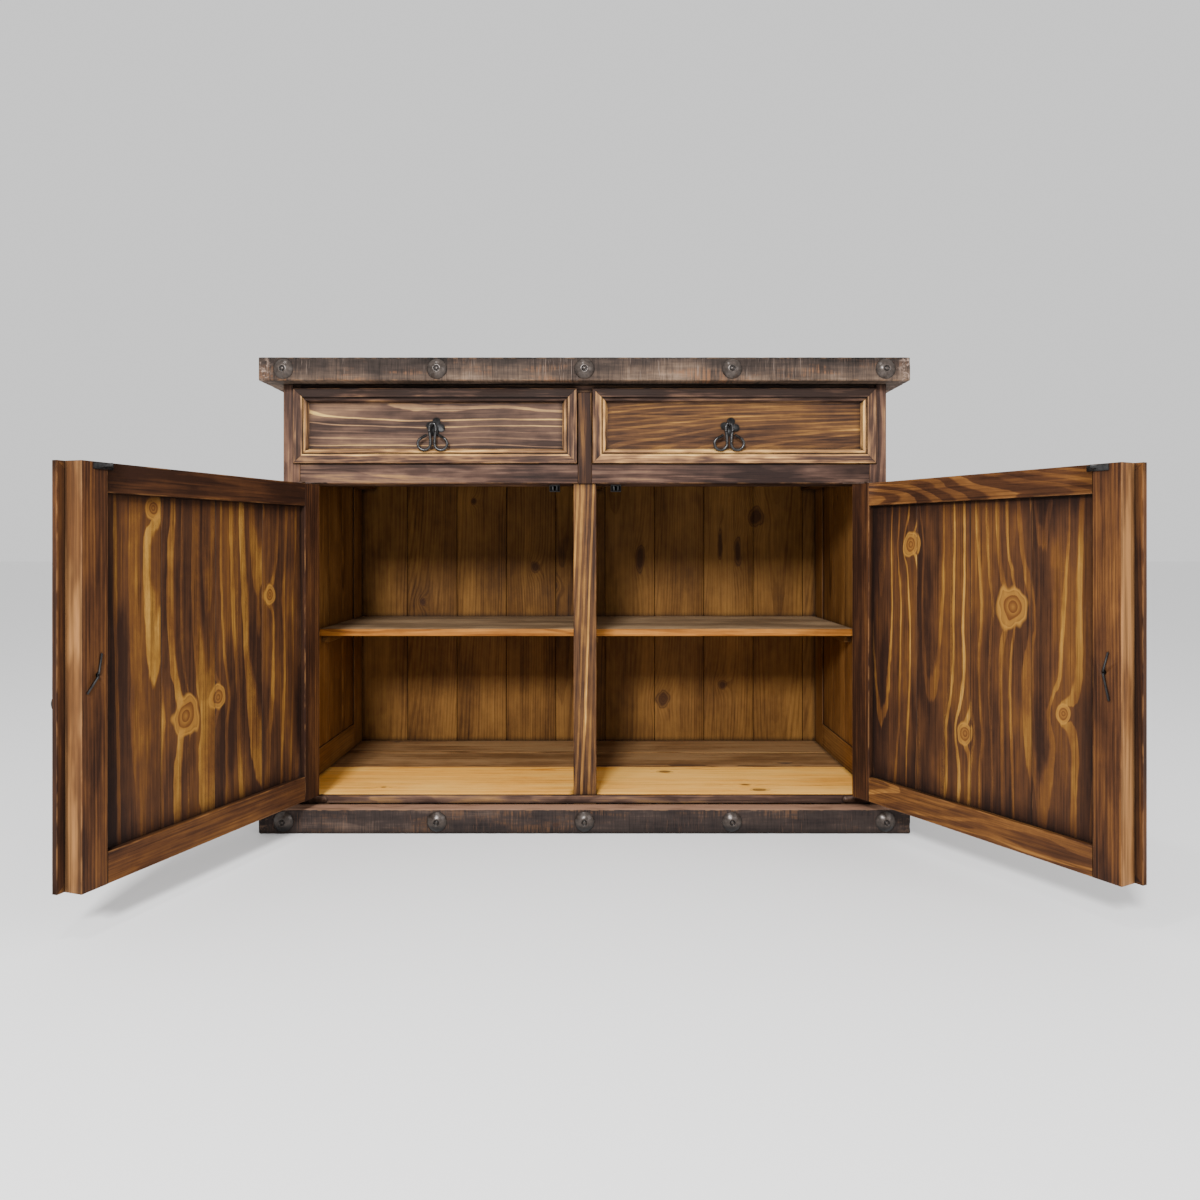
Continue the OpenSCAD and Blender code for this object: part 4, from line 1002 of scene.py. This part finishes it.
def ragged_arrises(bm, seed):
    """Wears the corners of each board: the nearer two faces meet, the deeper the noise bites."""
    shift = Vector((seed * 2.9, 0, seed * 1.7))
    for group in islands(bm):
        low, high = corners([v.co for v in group])
        for v in group:
            room = sorted(((min(v.co[i] - low[i], high[i] - v.co[i]), i) for i in range(3)))
            near = math.exp(-(room[0][0] + room[1][0]) / (BITE_REACH * MM))
            bite = max(0.0, noise.fractal(v.co / (GRIT * MM) + shift, 0.8, 2.0, 3) - 0.05)
            for _, i in room[:2]:
                inwards = 1 if v.co[i] - low[i] < high[i] - v.co[i] else -1
                v.co[i] += inwards * BITE * MM * near * bite


print("a ragged arris loses up to about", BITE, "mm")

# %% Rough boards
ROUGH_EASE, ROUGH_CUTS, ROUGH_HOLLOW, ROUGH_SWELL = 0.8, (6, 9, 9), 0.4, 12  # mm


def dress_rough(node, material):
    """The same for a node of boards that were never planed."""
    bm = merged_copy(node)
    level = Matrix.Identity(3)
    round_arrises(bm, ROUGH_EASE * MM)
    cut_grid(bm, level, [cut * MM for cut in ROUGH_CUTS])
    lay_grain(bm, level, seeds[node], by_chance, even)
    carve(bm, ROUGH_HOLLOW * MM, ROUGH_SWELL * MM, seeds[node])
    ragged_arrises(bm, seeds[node])
    made = finish_piece(node + "_sawn", bm, node, material, sharp=40)
    print(made.name, len(made.data.polygons), "faces")


for node in ("top_front_plank", "top_rear_planks"):
    dress_rough(node, top_pine)
for node in ("plinth_front", "plinth_left", "plinth_right"):
    dress_rough(node, plinth_pine)

# %% [markdown]
# ## Drawers and doors
# Each drawer front has a mitred moulding whose lower length is painted lighter, rubbed and with painted
# light, and whose upper length is darker, stained and with painted shade. The doors stand open, so their
# boards lie along a frame that is turned about Z by the same angle.

# %% Drawers
def rubbed_and_painted_light_below(lies, luck):
    """The lower length of a drawer's moulding is rubbed light, with painted light; the upper one is dark,
    with stain and painted shade.
    """
    return -0.9 if lies[2] > 0.8 else 1.25 if lies[2] < 0.2 else 0.8 - 0.4 * lies[0] + 0.3 * luck


def darker_behind_the_pull(share):
    return darker_to_the_right(share) - 0.8 * max(0.0, 1.0 - abs(share - 0.50) / 0.16)


for side, fade in (("left", darker_behind_the_pull), ("right", even)):
    dress_wood(f"drawer_{side}_moulding", moulding_pine, ease=0.4, shade_rule=rubbed_and_painted_light_below)
    dress_wood(f"drawer_{side}_front", drawer_pine[side], ease=0.4, shade_rule=shade(0.0), fade=fade)
    for part in ("box", "bottom"):
        dress_wood(f"drawer_{side}_{part}", back_pine)

# %% Doors
door_turn = {"left": -109.0, "right": 118.5}
for side, turn in door_turn.items():
    dress_wood(f"door_{side}_stiles", frame_pine, turn)
    dress_wood(f"door_{side}_rails", rail_pine[side], turn)
    dress_wood(f"door_{side}_panel", panel_pine[side], turn)
    dress_wood(f"door_{side}_moulding", lip_pine, turn, ease=0.4)
print("doors dressed, turned by", door_turn)

# %% [markdown]
# ## Ironwork
# The iron nodes keep their CAD shape. A copy is merged and shaded smooth, and noise takes the machine-made
# evenness off its skin.

# %% Iron pieces
IRON_SWELL = 4


def dress_iron(node, material, depth=0.08):
    """An iron node with a slightly uneven skin. Sizes in mm."""
    bm = bmesh.new()
    bm.from_mesh(frame["nodes"][node].data)
    bmesh.ops.remove_doubles(bm, verts=bm.verts, dist=MERGE)
    carve(bm, depth * MM, IRON_SWELL * MM, seeds[node])
    finish_piece(node + "_iron", bm, node, material, sharp=40)


for node in frame["nodes"]:
    if node.endswith("_pull"):
        dress_iron(node, pull_iron)
    elif node == "hinge_plates":
        dress_iron(node, plate_iron)
    elif slot_of[node] == "black_iron":
        dress_iron(node, black_iron)
    elif slot_of[node] == "roller_steel":
        dress_iron(node, roller_steel, depth=0.0)

# %% [markdown]
# ## Clavos
# The heads of the nails are all alike and yet each is struck a little differently. Geometry Nodes fit that:
# one head is turned on a lathe, a tree sets a copy of it on every point, spins it at random, makes the
# copies real and hammers their skin with noise that differs from place to place.

# %% A lathe for heads
def turned_head(name, profile, sides):
    """A head spun about Z from (radius, height) points in mm, from its rim to its tip."""
    bm = bmesh.new()
    turns = [2 * math.pi * k / sides for k in range(sides)]
    rings = [[bm.verts.new((r * MM * math.cos(turn), r * MM * math.sin(turn), h * MM)) for turn in turns]
             for r, h in profile[:-1]]
    tip = bm.verts.new((0, 0, profile[-1][1] * MM))
    bm.faces.new(list(reversed(rings[0])))
    for lower, upper in zip(rings, rings[1:]):
        for k in range(sides):
            bm.faces.new((lower[k], lower[k - sides + 1], upper[k - sides + 1], upper[k]))
    for k in range(sides):
        bm.faces.new((rings[-1][k], rings[-1][k - sides + 1], tip))
    mesh = mesh_from(name, bm)
    mesh.shade_smooth()
    return new_object(name, mesh)


CLAVO_PROFILE = [(19.2, 0.0), (19.3, 0.5), (18.9, 1.2), (17.6, 2.5), (15.4, 4.2), (12.8, 5.9), (10.0, 7.3),
                 (7.6, 8.2), (6.0, 8.6), (5.2, 8.3), (4.5, 7.3), (3.9, 6.6), (3.4, 6.8), (3.2, 7.8),
                 (2.5, 8.3), (1.2, 8.5), (0, 8.6)]
clavo_head = turned_head("clavo_head", CLAVO_PROFILE, 36)
print("one head:", len(clavo_head.data.polygons), "faces")

# %% The tree: its inputs, and a copy on each point
heads_on_points = bpy.data.node_groups.new("heads_on_points", "GeometryNodeTree")
bench.tree = heads_on_points
heads_on_points.interface.new_socket("Geometry", in_out="OUTPUT", socket_type="NodeSocketGeometry")
for name, kind in (("Geometry", "Geometry"), ("Head", "Object"), ("Hammer", "Float"), ("Dent size", "Float"),
                   ("Seed", "Int"), ("Finish", "Material")):
    heads_on_points.interface.new_socket(name, in_out="INPUT", socket_type="NodeSocket" + kind)
given = add("NodeGroupInput").outputs
head = add("GeometryNodeObjectInfo", {"Object": given["Head"]}).outputs["Geometry"]
facing = add("GeometryNodeInputNamedAttribute", {"Name": "facing"}, data_type="FLOAT_VECTOR")
aimed = add("FunctionNodeAlignRotationToVector", {"Vector": facing.outputs["Attribute"]}, axis="Z")
angle = add("FunctionNodeRandomValue", {"Seed": given["Seed"]}, data_type="FLOAT")
angle.inputs[3].default_value = 2 * math.pi
spin = add("FunctionNodeAxisAngleToRotation", {"Axis": (0, 0, 1), "Angle": angle.outputs[1]})
turned = add("FunctionNodeRotateRotation", {0: aimed.outputs[0], 1: spin.outputs[0]},
             rotation_space="LOCAL")
copies = add("GeometryNodeInstanceOnPoints",
             {"Points": given["Geometry"], "Instance": head, "Rotation": turned.outputs[0]})
print("tree's inputs:", [output.name for output in given if output.name])

# %% The tree: hammered skin and finish
real = add("GeometryNodeRealizeInstances", {0: copies.outputs[0]})
dents = add("ShaderNodeTexNoise", {"Vector": add("GeometryNodeInputPosition").outputs[0],
                                   "Scale": given["Dent size"], "Detail": 1.0})
depth = product(dents.outputs["Fac"], product(given["Hammer"], -1.0))
push = add("ShaderNodeVectorMath", {0: add("GeometryNodeInputNormal").outputs[0], "Scale": depth},
           operation="SCALE")
struck = add("GeometryNodeSetPosition", {"Geometry": real.outputs[0], "Offset": push.outputs[0]})
coated = add("GeometryNodeSetMaterial", {"Geometry": struck.outputs[0], "Material": given["Finish"]})
add("NodeGroupOutput", {"Geometry": coated.outputs[0]})
print("tree's nodes:", len(heads_on_points.nodes))

# %% Clavos
def set_heads(name, points, **values):
    """A mesh of heads at (place, facing) points, made by the tree with the given inputs."""
    mesh = bpy.data.meshes.new(name + "_points")
    mesh.from_pydata([place for place, _ in points], [], [])
    facing = mesh.attributes.new("facing", "FLOAT_VECTOR", "POINT")
    for item, (_, direction) in zip(facing.data, points):
        item.vector = direction
    base = new_object(name + "_points", mesh)
    grow = base.modifiers.new("heads", "NODES")
    grow.node_group = heads_on_points
    for socket in heads_on_points.interface.items_tree:
        if socket.in_out == "INPUT" and socket.name in values:
            grow[socket.identifier] = values[socket.name]
    solid = bpy.data.meshes.new_from_object(base.evaluated_get(bpy.context.evaluated_depsgraph_get()))
    bpy.data.objects.remove(base)
    solid.name = name
    print(name, len(points), "heads,", len(solid.polygons), "faces")
    return new_object(name, solid)


CLAVO_HEIGHT = 9
bm = merged_copy("clavos")
clavo_points = []
for group in islands(bm):
    low, high = corners([v.co for v in group])
    middle = (low + high) / 2
    clavo_points.append(((middle.x, low.y + CLAVO_HEIGHT * MM, middle.z), (0, -1, 0)))
bm.free()
clavos = set_heads("clavo_heads", clavo_points, Head=clavo_head, Hammer=0.0009, Seed=4, Finish=patina_and_shade_iron,
                   **{"Dent size": 130.0})
hand_over(clavos, "bronzed_iron", body_of["clavos"], "clavos")
bpy.data.objects.remove(clavo_head)
